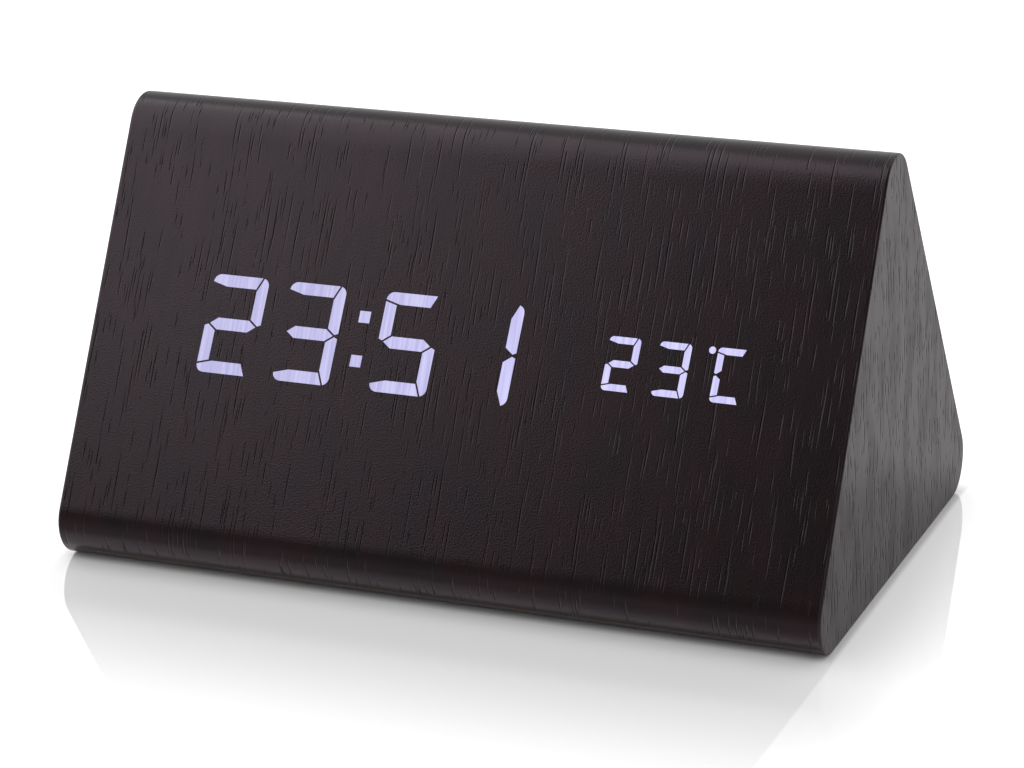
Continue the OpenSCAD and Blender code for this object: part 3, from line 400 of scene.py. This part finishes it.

# %% [markdown]
# Both films are nearly black brown, with a reddish patch here and there, and their pores are coloured
# darker, a painted shade in the grooves. They could be two copies of one material, but then a change to
# one would miss the other. So one function gives them their colours and their grain, and each film ties
# its own roughness and height.

# %% Dark film
FILM_DARK = (0.0034, 0.0019, 0.0011, 1)
FILM_RED = (0.0080, 0.0021, 0.0012, 1)
FILM_SHEEN = (1.0, 0.84, 0.98, 1)
# Colour of the pores: darker than the film, as painted shade in the grooves
PORE_SHADE = (0.0020, 0.0012, 0.0008, 1)


def film_finish(name, place, share, pore_depth, gloss, roughness):
    """A film with its grain laid out by place, a function. Its roughness and height come back untied."""
    material, tree, shader = open_material(name, Specular_Tint=FILM_SHEEN, Specular_IOR_Level=gloss)
    grain = use_group(tree, film, Vector=place(tree), Share=share, Pore_Depth=pore_depth)
    body = blend_colours(tree, grain["Patch"], FILM_DARK, FILM_RED)
    tie(tree, blend_colours(tree, grain["Pore"], body, PORE_SHADE), shader["Base Color"])
    streaked = remap(tree, grain["Streak"], 0.0, 1.0, *roughness)
    return material, tree, shader, streaked, grain["Height"]


def bump(tree, height_mm, socket, strength=1.0):
    """Bends a shader's normal by a height in millimetres."""
    bent = add(tree, "Bump", {"Height": height_mm, "Distance": MM, "Strength": strength})
    tie(tree, bent.outputs[0], socket)

# %% [markdown]
# The film on the front, over the ridge and down the back is one sheet with a satin gloss. A stiff film
# doesn't turn from a flat into a round at once, as the construction's arcs do: it bends gradually, over a
# few millimetres at the ridge and less at the low edges. That would take very fine geometry, so it is a
# drop of up to two tenths of a millimetre in the height that the bump reads.

# %% Wrap film
RIDGE_REACH = 2.8
LOW_REACH = 1.3


def eased_turn(tree):
    """The drop that lets the film bend gradually into a rounded edge, with a longer reach at the ridge."""
    half = FACE_STEP / 2 / MM
    up = add(tree, "SeparateXYZ", {0: wrap_place(tree)}).outputs["Y"]
    from_ridge = maths(tree, "ABSOLUTE", maths(tree, "SUBTRACT", up, half))
    upper = maths(tree, "LESS_THAN", from_ridge, half)
    reach = maths(tree, "ADD", maths(tree, "MULTIPLY", upper, RIDGE_REACH - LOW_REACH), LOW_REACH)
    beyond = maths(tree, "SUBTRACT", maths(tree, "PINGPONG", up, half), FLAT_HALF / MM)
    past = maths(tree, "DIVIDE", beyond, reach)
    left = maths(tree, "MAXIMUM", maths(tree, "SUBTRACT", 1.0, maths(tree, "ABSOLUTE", past)), 0.0)
    step = maths(tree, "SUBTRACT", 1.0, maths(tree, "POWER", left, 3.0))
    drop = maths(tree, "ADD", maths(tree, "MULTIPLY", maths(tree, "SIGN", past), step), 1.0)
    # Where the curvature grows evenly over the reach, the arc starts lower by reach squared over 12 radii
    depth = maths(tree, "MULTIPLY", maths(tree, "POWER", reach, 2.0), -1 / (12 * EDGE_RADIUS / MM))
    return maths(tree, "MULTIPLY", drop, depth)


wrap_film, tree, shader, streaked, height = film_finish(
    "wrap film", wrap_place, share=0.32, pore_depth=0.068, gloss=0.3, roughness=(0.275, 0.295))
tie(tree, streaked, shader["Roughness"])
bump(tree, maths(tree, "ADD", height, eased_turn(tree)), shader["Normal"])
print("film:", wrap_film.name)

# %% [markdown]
# The ends have a film of their own, glossier but with a rougher skin. It is duller low down, most of all
# towards the front, and it has no pores on its trimmed rim, so the bump fades out there. A thin coat of
# dirt could make it dull, but a higher roughness does so without changing its colour.

# %% End film
DULL_LEAN = 0.38
DULL_FROM, DULL_TO = 12.0, 24.0
DULL_ROUGHER = 0.09
RIM_FROM, RIM_TO = 74.75, 74.97

end_film, tree, shader, streaked, height = film_finish(
    "end film", end_place, share=0.65, pore_depth=0.200, gloss=0.52, roughness=(0.35, 0.43))
out, back, up = add(tree, "SeparateXYZ", {0: object_mm(tree)}).outputs
leaning = maths(tree, "ADD", up, maths(tree, "MULTIPLY", back, DULL_LEAN))
duller = remap(tree, leaning, DULL_FROM, DULL_TO, DULL_ROUGHER, 0.0)
tie(tree, maths(tree, "ADD", streaked, duller), shader["Roughness"])
on_face = remap(tree, maths(tree, "ABSOLUTE", out), RIM_FROM, RIM_TO)
bump(tree, height, shader["Normal"], on_face)
print("film:", end_film.name)

# %% [markdown]
# The wrap needs a UV map in millimetres. An unwrap would choose its own scale and cuts. Here the map is
# worked out from each corner's place: x along the clock, and the length round the rounded triangle up the
# front, over the ridge and down the back. So the grain runs over the ridge without a break, as a real
# film does.

# %% Length round the profile
INRADIUS = PROFILE_SIDE / (2 * math.sqrt(3))
FACE_TURNS = {"front": 60, "back": -60, "base": 180}
FACE_ORDER = {"front": 0, "back": 1, "base": 2}


def length_round(y, z, faces):
    """Length round the profile, from the middle of the front, of a point on these faces or their arcs."""
    def seen_from(face):
        turn = math.radians(FACE_TURNS[face])
        along = Vector((math.cos(turn), math.sin(turn)))
        from_middle = Vector((y, z - INRADIUS))
        return from_middle.dot(along), from_middle.dot(Vector((-along.y, along.x))), FACE_ORDER[face]

    along, out, order = max((seen_from(face) for face in faces), key=lambda found: found[1])
    past = max(abs(along) - FLAT_HALF, 0)
    arc = math.atan2(past, max(out - INRADIUS + EDGE_RADIUS, 0)) if past else 0
    flat = max(min(along, FLAT_HALF), -FLAT_HALF)
    return order * FACE_STEP + flat + math.copysign(EDGE_RADIUS * arc, along)


print("one face to the next:", round(FACE_STEP / MM, 2), "mm round the profile")

# %% [markdown]
# A piece that replaces one of the construction's starts as a copy of it, merged into one closed skin,
# because the construction comes as loose triangles. When it is shaped, it is shaded smooth between its
# sharp edges, gets its finish, and is tied to the body that it moves with.

# %% From copy to finished piece
MERGE_WITHIN = 1e-6


def merged_copy(node, name):
    """A bmesh of a construction node, as one closed skin, and a new empty object for it."""
    shape = bmesh.new()
    shape.from_mesh(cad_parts[node].data)
    bmesh.ops.remove_doubles(shape, verts=shape.verts, dist=MERGE_WITHIN)
    return shape, bpy.data.objects.new(name, bpy.data.meshes.new(name))


def keep_piece(shape, piece, node, body, material, smooth_below=30):
    """Makes a bmesh a finished piece that moves with its body, and stands for a node if one is named."""
    for face in shape.faces:
        face.smooth = True
    for edge in shape.edges:
        edge.smooth = len(edge.link_faces) == 2 and edge.calc_face_angle() < math.radians(smooth_below)
    shape.to_mesh(piece.data)
    shape.free()
    custom = piece.data.attributes.get("custom_normal")
    if custom:
        piece.data.attributes.remove(custom)
    piece.data.materials.clear()
    piece.data.materials.append(material)
    scene.collection.objects.link(piece)
    weighted = piece.modifiers.new("even shading", "WEIGHTED_NORMAL")
    weighted.keep_sharp = True
    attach(piece, body)
    if node:
        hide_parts(node)
    print(piece.name, "has", len(piece.data.polygons), "faces")
    return piece

# %% [markdown]
# The wrap is one sheet over the front and the back, and the base has a sheet of the same film. Their
# shapes are right as they come, so all that they need is the map.

# %% Wrap and base
for node, faces in {"wrap_skin": ("front", "back"), "base_skin": ("base",)}.items():
    shape, piece = merged_copy(node, node + "_film")
    grain_map = shape.loops.layers.uv.new("grain")
    for face in shape.faces:
        for corner in face.loops:
            x, y, z = corner.vert.co
            corner[grain_map].uv = (x / MM, length_round(y, z, faces) / MM)
    keep_piece(shape, piece, node, "case", wrap_film)

# %% [markdown]
# Each end is closed by a sheet of film that is trimmed flush with the wrap and rubbed down. Its rim
# catches a thin line of light, which a sharp edge wouldn't. A Bevel modifier would round every edge, so
# the edges of the outermost face are picked, by their distance along the way that it looks, and only they
# are bevelled.

# %% End sheets
END_EDGE = 0.00035
FLAT_WITHIN = math.radians(1)
SHARP_ABOVE = math.radians(40)
SAME_PLACE = 1e-5
END_SHEETS = {"left_end_skin": Vector((-1, 0, 0)), "right_end_skin": Vector((1, 0, 0))}


def round_rim(shape, outward, width, segments):
    """Rounds the sharp edges of the face that lies furthest outward."""
    bmesh.ops.dissolve_limit(shape, angle_limit=FLAT_WITHIN, verts=shape.verts, edges=shape.edges)
    outermost = max(v.co.dot(outward) for v in shape.verts)
    sharp = [e for e in shape.edges if len(e.link_faces) == 2 and e.calc_face_angle() > SHARP_ABOVE]
    rim = [e for e in sharp if all(outermost - v.co.dot(outward) < SAME_PLACE for v in e.verts)]
    bmesh.ops.bevel(
        shape, geom=rim, offset=width, affect="EDGES", segments=segments, profile=0.5, material=-1)


for node, outward in END_SHEETS.items():
    shape, piece = merged_copy(node, node + "_film")
    round_rim(shape, outward, END_EDGE, segments=3)
    keep_piece(shape, piece, node, "case", end_film)

# %% [markdown]
# The characters shine through the same film, so they carry its grain: the light is a little stronger
# where the film is thin. They read the grain on the front's own plane, so it runs on from the film around
# them. The lamps of the small characters at the right have less to light, so they shine brighter.

# %% Lit characters
LIT_BODY = (0.02, 0.02, 0.022, 1)
LIT_DIM = (0.38, 0.36, 0.66, 1)
LIT_BRIGHT = (0.60, 0.58, 0.86, 1)
LIT_STREAKS_PER_MM = (1.5, 0.05)
LIT_STREAK_SHARES = (0.15, 0.8)
NOISE_WIDE = (0.3, 0.7)
LIT_FROM, LIT_TO = -38.0, 42.0
LIT_LEFT, LIT_RIGHT = 1.02, 1.25

lit, tree, shader = open_material(
    "lit film", Base_Color=LIT_BODY, Roughness=0.45, Emission_Strength=LIT_RIGHT)
place = front_place(tree)
grain = use_group(tree, film, Vector=place, Share=0.20, Pore_Depth=0.03)
streaks = stretched_noise(tree, place, LIT_STREAKS_PER_MM, detail=3.0)
thin = maths(tree, "MAXIMUM", remap(tree, streaks, *NOISE_WIDE, *LIT_STREAK_SHARES), grain["Pore"])
light = blend_colours(tree, thin, LIT_DIM, LIT_BRIGHT)
across = add(tree, "SeparateXYZ", {0: place}).outputs["X"]
level = remap(tree, across, LIT_FROM, LIT_TO, LIT_LEFT / LIT_RIGHT, 1.0)
levelled = add(tree, "VectorMath", {0: light, "Scale": level}, operation="SCALE").outputs[0]
tie(tree, levelled, shader["Emission Color"])
bump(tree, grain["Height"], shader["Normal"])
for node in ("lit_time", "lit_temperature"):
    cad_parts[node].data.materials[0] = lit
print("lit characters in", lit.name)

# %% [markdown]
# Inside the film the clock is fibreboard: brown, felted from short fibres, with darker specks. Only one
# line of it shows, along the lower front edge, where the wrap ends. That line is coloured a far darker
# brown than the board, a painted shade for the shadow under the edge. Modelled fibres would be far too
# many, so a stretched noise gives their lie.

# %% Fibreboard
BOARD_DARK, BOARD_LIGHT = (0.30, 0.19, 0.10, 1), (0.47, 0.32, 0.19, 1)
# Colours of the edge line: darker than the board, as painted shade under the lower edge
EDGE_SHADE_DARK, EDGE_SHADE_LIGHT = (0.085, 0.048, 0.034, 1), (0.120, 0.068, 0.050, 1)
FIBRES_PER_MM = (0.6, 2.4)
SPECKS_PER_MM = (3.0, 3.0)
SPECK_MIDDLE, SPECK_SHARES = (0.3, 0.55), (0.6, 1.0)
FELT_DEPTH = 0.05


def fibreboard(name, dark, light):
    """Felted fibres: a stretched noise for their lie, and a fine one for specks."""
    material, tree, shader = open_material(name, Roughness=0.85)
    place = object_mm(tree)
    fibres = stretched_noise(tree, place, FIBRES_PER_MM, detail=5.0)
    specks = stretched_noise(tree, place, SPECKS_PER_MM, detail=2.0)
    spared = remap(tree, specks, *SPECK_MIDDLE, *SPECK_SHARES)
    felt = maths(tree, "MULTIPLY", remap(tree, fibres, *NOISE_WIDE), spared)
    tie(tree, blend_colours(tree, felt, dark, light), shader["Base Color"])
    bump(tree, maths(tree, "MULTIPLY", felt, FELT_DEPTH), shader["Normal"])
    return material


raw_board = fibreboard("raw board", BOARD_DARK, BOARD_LIGHT)
shaded_board_edge = fibreboard("board edge in painted shade", EDGE_SHADE_DARK, EDGE_SHADE_LIGHT)
print("boards:", raw_board.name, "and", shaded_board_edge.name)

# %% [markdown]
# Moulded plastic takes its skin from the mould: spark erosion leaves a fine matt grain on the panel, and
# the buttons are polished to satin. One group gives all mouldings their grain height and a faint mottle,
# and a table holds what differs.

# %% Mouldings
MOTTLE_PER_MM = (0.12, 0.12)
ROUGHNESS_SWING = 0.03
# Each moulding: the two colours of its mottle, its roughness, then the size and depth of its grain in mm
MOULDINGS = {
    "panel plastic": ((0.010, 0.010, 0.011), (0.014, 0.014, 0.015), 0.52, 0.22, 0.016),
    "button plastic": ((0.020, 0.020, 0.021), (0.026, 0.026, 0.027), 0.33, 0.15, 0.003),
    "mark paint": ((0.62, 0.62, 0.60), (0.70, 0.70, 0.68), 0.55, 0.12, 0.004),
    "white moulding": ((0.74, 0.74, 0.72), (0.80, 0.80, 0.78), 0.45, 0.2, 0.004),
    "ivory moulding": ((0.64, 0.58, 0.44), (0.71, 0.66, 0.53), 0.42, 0.2, 0.004),
    "black moulding": ((0.014, 0.014, 0.015), (0.021, 0.021, 0.022), 0.48, 0.12, 0.006),
    "frosted film": ((0.70, 0.70, 0.72), (0.78, 0.78, 0.80), 0.60, 0.08, 0.004),
    "lamp resin": ((0.66, 0.56, 0.25), (0.74, 0.67, 0.36), 0.25, 0.3, 0.002),
    "red insulation": ((0.33, 0.020, 0.016), (0.40, 0.028, 0.022), 0.38, 0.3, 0.006),
    "black insulation": ((0.012, 0.012, 0.012), (0.018, 0.018, 0.018), 0.38, 0.3, 0.006),
}

mould, given = open_group("mould skin", {
    "Vector": (0.0, 0.0, 0.0), "Grain": 0.25, "Depth": 0.01,
}, ["Height", "Mottle"])
finer = maths(mould, "DIVIDE", 1.0, given["Grain"])
fine = add(mould, "VectorMath", {0: given["Vector"], "Scale": finer}, operation="SCALE").outputs[0]
pits = stretched_noise(mould, fine, (1.0, 1.0), detail=2.0)
clouds = stretched_noise(mould, given["Vector"], MOTTLE_PER_MM, detail=3.0)
mottle = remap(mould, clouds, *NOISE_MIDDLE)
mould = close_group(mould, Height=maths(mould, "MULTIPLY", pits, given["Depth"]), Mottle=mottle)


def moulding(name, dark, light, roughness, grain, depth):
    """Moulded plastic between two near colours, with a grain of this size and depth in millimetres."""
    material, tree, shader = open_material(name)
    skin = use_group(tree, mould, Vector=object_mm(tree), Grain=grain, Depth=depth)
    tie(tree, blend_colours(tree, skin["Mottle"], (*dark, 1), (*light, 1)), shader["Base Color"])
    smoothest, roughest = roughness - ROUGHNESS_SWING, roughness + ROUGHNESS_SWING
    tie(tree, remap(tree, skin["Mottle"], 0.0, 1.0, smoothest, roughest), shader["Roughness"])
    bump(tree, skin["Height"], shader["Normal"])
    return material


skins = {name: moulding(name, *values) for name, values in MOULDINGS.items()}
print("mouldings in", len(skins), "finishes")

# %% [markdown]
# Screws, contacts and the power socket are nickel-plated steel. The plate is bright, with rub marks from
# handling. One even metal would look like chrome, so a stretched noise roughens it in fine lines, and a
# broad one clouds its colour.

# %% Plated steel
STEEL_DULL, STEEL_BRIGHT = (0.56, 0.55, 0.53, 1), (0.64, 0.63, 0.61, 1)
STEEL_ROUGHNESS = (0.22, 0.32)
RUBS_PER_MM = (14.0, 1.2)
RUB_DEPTH = 0.0008
CLOUDS_PER_MM = (0.3, 0.3)

plated, tree, shader = open_material("plated steel", Metallic=1.0)
place = object_mm(tree)
rubs = stretched_noise(tree, place, RUBS_PER_MM, detail=2.0)
clouds = remap(tree, stretched_noise(tree, place, CLOUDS_PER_MM, detail=2.0), *NOISE_MIDDLE)
tie(tree, blend_colours(tree, clouds, STEEL_DULL, STEEL_BRIGHT), shader["Base Color"])
tie(tree, remap(tree, rubs, *NOISE_WIDE, *STEEL_ROUGHNESS), shader["Roughness"])
bump(tree, maths(tree, "MULTIPLY", rubs, RUB_DEPTH), shader["Normal"])
print("metal:", plated.name)

# %% [markdown]
# The circuit boards are glass fibre under a green mask. The copper below shows as slightly lighter
# tracks. They could be modelled, but they are thinner than paper, so a Brick texture lays them out: its
# mortar is the gap between tracks.

# %% Circuit board
MASK_GREEN, TRACK_GREEN = (0.018, 0.115, 0.050, 1), (0.040, 0.190, 0.080, 1)
BOARD_TURN = (90, 0, 0)
GAP_DEPTH = 0.035

circuit, tree, shader = open_material("circuit board", Roughness=0.34)
tracks = add(tree, "TexBrick", {
    "Vector": object_mm(tree, (0, 0, 0), BOARD_TURN), "Scale": 1.0,
    "Color1": TRACK_GREEN, "Color2": TRACK_GREEN, "Mortar": MASK_GREEN,
    "Mortar Size": 0.35, "Mortar Smooth": 0.1, "Brick Width": 6.0, "Row Height": 1.1,
}).outputs
tie(tree, tracks["Color"], shader["Base Color"])
bump(tree, maths(tree, "MULTIPLY", tracks["Fac"], -GAP_DEPTH), shader["Normal"])
print("boards:", circuit.name)

# %% [markdown]
# The ribbon cable is ten wires side by side, grey but for the first, which is red. Ten tubes could make
# it, but they are moulded into one band. The grooves between the wires repeat along x, so a Ping-pong
# node folds the coordinate at every wire.

# %% Ribbon cable
WIRE_PITCH = 1.2
FIRST_WIRE = -4.8
CROWN_FROM = 0.3
CROWN_HEIGHT = 0.2
# The groove colour is darker than the wires: a painted shade between the wires
RIBBON_GREY, RIBBON_GROOVE_SHADE = (0.34, 0.35, 0.37, 1), (0.20, 0.205, 0.22, 1)
RIBBON_RED = (0.36, 0.03, 0.025, 1)

ribbon, tree, shader = open_material("ribbon cable", Roughness=0.45)
across = add(tree, "SeparateXYZ", {0: object_mm(tree)}).outputs["X"]
fold = maths(tree, "PINGPONG", maths(tree, "DIVIDE", across, WIRE_PITCH), 0.5)
crown = remap(tree, fold, 0.0, CROWN_FROM)
# Painted shade: the grooves between the wires are coloured darker
grey = blend_colours(tree, crown, RIBBON_GROOVE_SHADE, RIBBON_GREY)
first = maths(tree, "LESS_THAN", across, FIRST_WIRE)
tie(tree, blend_colours(tree, first, grey, RIBBON_RED), shader["Base Color"])
bump(tree, maths(tree, "MULTIPLY", crown, CROWN_HEIGHT), shader["Normal"])
print("ribbon: wires every", WIRE_PITCH, "mm")

# %% [markdown]
# The cells wear a plain slate jacket with a pale band at the button end, and their ends are bare metal. A
# print has no thickness, so one material tells them apart by the place along the cell. The middle cell
# lies the other way round, so its own length is counted along minus x.

# %% Cells
ROW_HALF = 5.6
JACKET_FROM, JACKET_TO, BAND_FROM = -19.5, 22.6, 13.5
JACKET_SLATE, JACKET_BAND = (0.040, 0.055, 0.072, 1), (0.36, 0.37, 0.38, 1)
CELL_METAL = (0.60, 0.59, 0.57, 1)
SCUFFS_PER_MM = (0.4, 2.5)
SCUFF_MIDDLE, SCUFF_ROUGHNESS = (0.4, 0.75), (0.28, 0.46)

jacket, tree, shader = open_material("cell jacket", Coat_Weight=0.3, Coat_Roughness=0.15)
place = object_mm(tree)
spot = add(tree, "SeparateXYZ", {0: place}).outputs
outer_row = maths(tree, "GREATER_THAN", maths(tree, "ABSOLUTE", spot["Y"]), ROW_HALF)
way = maths(tree, "SUBTRACT", maths(tree, "MULTIPLY", outer_row, 2.0), 1.0)
along = maths(tree, "MULTIPLY", spot["X"], way)
past_foot = maths(tree, "GREATER_THAN", along, JACKET_FROM)
covered = maths(tree, "MULTIPLY", past_foot, maths(tree, "LESS_THAN", along, JACKET_TO))
banded = maths(tree, "GREATER_THAN", along, BAND_FROM)
printed = blend_colours(tree, banded, JACKET_SLATE, JACKET_BAND)
scuffs = stretched_noise(tree, place, SCUFFS_PER_MM, detail=4.0)
tie(tree, blend_colours(tree, covered, CELL_METAL, printed), shader["Base Color"])
tie(tree, maths(tree, "SUBTRACT", 1.0, covered), shader["Metallic"])
tie(tree, remap(tree, scuffs, *SCUFF_MIDDLE, *SCUFF_ROUGHNESS), shader["Roughness"])
print("cells:", jacket.name)

# %% [markdown]
# The finishes could be put on piece by piece. But every construction piece already carries the name of
# its slot, so they go on in one loop. The pieces with a finish of their own were dressed above or follow
# below.

# %% Dress the pieces
SLOT_FINISH = {
    "fibreboard": raw_board,
    "circuit_board": circuit,
    "ribbon": ribbon,
    "plated_steel": plated,
    "cell_jacket": jacket,
    "diffuser": skins["frosted film"],
    "lamp": skins["lamp resin"],
    "white_plastic": skins["white moulding"],
    "ivory_plastic": skins["ivory moulding"],
    "chip_plastic": skins["black moulding"],
    "panel_plastic": skins["panel plastic"],
    "button_plastic": skins["button plastic"],
    "red_wire": skins["red insulation"],
    "black_wire": skins["black insulation"],
}

dressed = 0
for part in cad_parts.values():
    finish = SLOT_FINISH.get(part.data.materials[0].name)
    if finish:
        part.data.materials[0] = finish
        dressed += 1
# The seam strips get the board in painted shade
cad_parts["seam_strips"].data.materials[0] = shaded_board_edge
print("dressed", dressed, "pieces")

# %% [markdown]
# A mould never leaves a knife edge, so the mouldings that a hand touches get their outer edges rounded:
# the rear panel, the battery box and its door. They are made as the end sheets were, with a finer bevel.

# %% Mouldings with rounded edges
MOULD_EDGE = 0.00014
BACK_LEAN = math.radians(30)
BACKWARDS = Vector((0, math.cos(BACK_LEAN), math.sin(BACK_LEAN)))
DOWNWARDS = Vector((0, 0, -1))
EASED_PIECES = {
    "rear_panel": ("case", BACKWARDS),
    "battery_box": ("case", DOWNWARDS),
    "battery_door": ("battery_door", DOWNWARDS),
}

for node, (body, outward) in EASED_PIECES.items():
    shape, piece = merged_copy(node, node + "_eased")
    round_rim(shape, outward, MOULD_EDGE, segments=2)
    keep_piece(shape, piece, node, body, SLOT_FINISH["panel_plastic"])

# %% [markdown]
# Turned and pressed pieces are round, but the construction holds them as facets. One merged skin with
# smooth shading, split only where the faces meet at a sharp angle, makes them round again.

# %% Round pieces
ROUND_PIECES = {
    "set_button": ("set_button", "button_plastic"),
    "up_button": ("up_button", "button_plastic"),
    "down_button": ("down_button", "button_plastic"),
    "usb_shell": ("case", "plated_steel"),
    "countersunk_screws": ("case", "plated_steel"),
    "pan_screws": ("case", "plated_steel"),
    "battery_cells": ("case", "cell_jacket"),
}

for node, (body, slot) in ROUND_PIECES.items():
    shape, piece = merged_copy(node, node + "_round")
    keep_piece(shape, piece, node, body, SLOT_FINISH[slot], smooth_below=40)

# %% [markdown]
# The setting buttons need marks that a hand finds without looking: a ring for setting, and triangles for
# up and down. They could be printed, but raised marks outlast wear and can be felt. Each is a disc of few
# or many sides, extruded and rounded.

# %% Shape of a mark
MARK_HEIGHT = 0.00015
MARK_SUNK = 0.00005
MARK_EDGE = 0.00004


def raised_mark(name, sides, radius, width):
    """A flat mark in the xy plane, its first corner along y, open in the middle if a width is given."""
    shape = bmesh.new()
    bmesh.ops.create_circle(shape, cap_ends=True, segments=sides, radius=radius)
    if width:
        bmesh.ops.inset_region(
            shape, faces=shape.faces[:], thickness=width, use_boundary=True, use_even_offset=True)
        inner = min(shape.faces, key=lambda face: face.calc_center_median().length)
        bmesh.ops.delete(shape, geom=[inner], context="FACES")
    grown = bmesh.ops.extrude_face_region(shape, geom=shape.faces[:])
    lifted = [g for g in grown["geom"] if isinstance(g, bmesh.types.BMVert)]
    bmesh.ops.translate(shape, verts=lifted, vec=(0, 0, MARK_SUNK + MARK_HEIGHT))
    bmesh.ops.recalc_face_normals(shape, faces=shape.faces)
    sharp = [e for e in shape.edges if e.calc_face_angle() > SHARP_ABOVE]
    top = [e for e in sharp if all(v in lifted for v in e.verts)]
    bmesh.ops.bevel(shape, geom=top, offset=MARK_EDGE, affect="EDGES", segments=2, profile=0.5, material=-1)
    return shape, bpy.data.objects.new(name, bpy.data.meshes.new(name))

# %% [markdown]
# Each mark sits on the middle of its button's face, a little sunk so that no gap shows, and it moves with
# the button. The face looks backwards and leans, so a turn is built from the face's own directions.

# %% Button marks
RING_SIDES, RING_RADIUS, RING_WIDTH = 40, 0.0017, 0.0005
ARROW_SIDES, ARROW_RADIUS = 3, 0.0018
UP_THE_BACK = Vector((0, -math.sin(BACK_LEAN), math.cos(BACK_LEAN)))
# Each mark: its sides, its radius, the width of its ring if it is open, and which way up it points
MARKS = {
    "set_button": (RING_SIDES, RING_RADIUS, RING_WIDTH, 1),
    "up_button": (ARROW_SIDES, ARROW_RADIUS, 0, 1),
    "down_button": (ARROW_SIDES, ARROW_RADIUS, 0, -1),
}


def face_middle(node, outward):
    """The middle of a piece's outermost face."""
    spots = [v.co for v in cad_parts[node].data.vertices]
    outermost = max(spot.dot(outward) for spot in spots)
    outer = [spot for spot in spots if outermost - spot.dot(outward) < SAME_PLACE]
    return sum(outer, Vector()) / len(outer)


for node, (sides, radius, width, way) in MARKS.items():
    shape, piece = raised_mark(node + "_mark", sides, radius, width)
    up = UP_THE_BACK * way
    turn = Matrix((up.cross(BACKWARDS), up, BACKWARDS)).transposed().to_4x4()
    place = Matrix.Translation(face_middle(node, BACKWARDS) - BACKWARDS * MARK_SUNK)
    bmesh.ops.transform(shape, matrix=place @ turn, verts=shape.verts)
    keep_piece(shape, piece, None, node, skins["mark paint"])
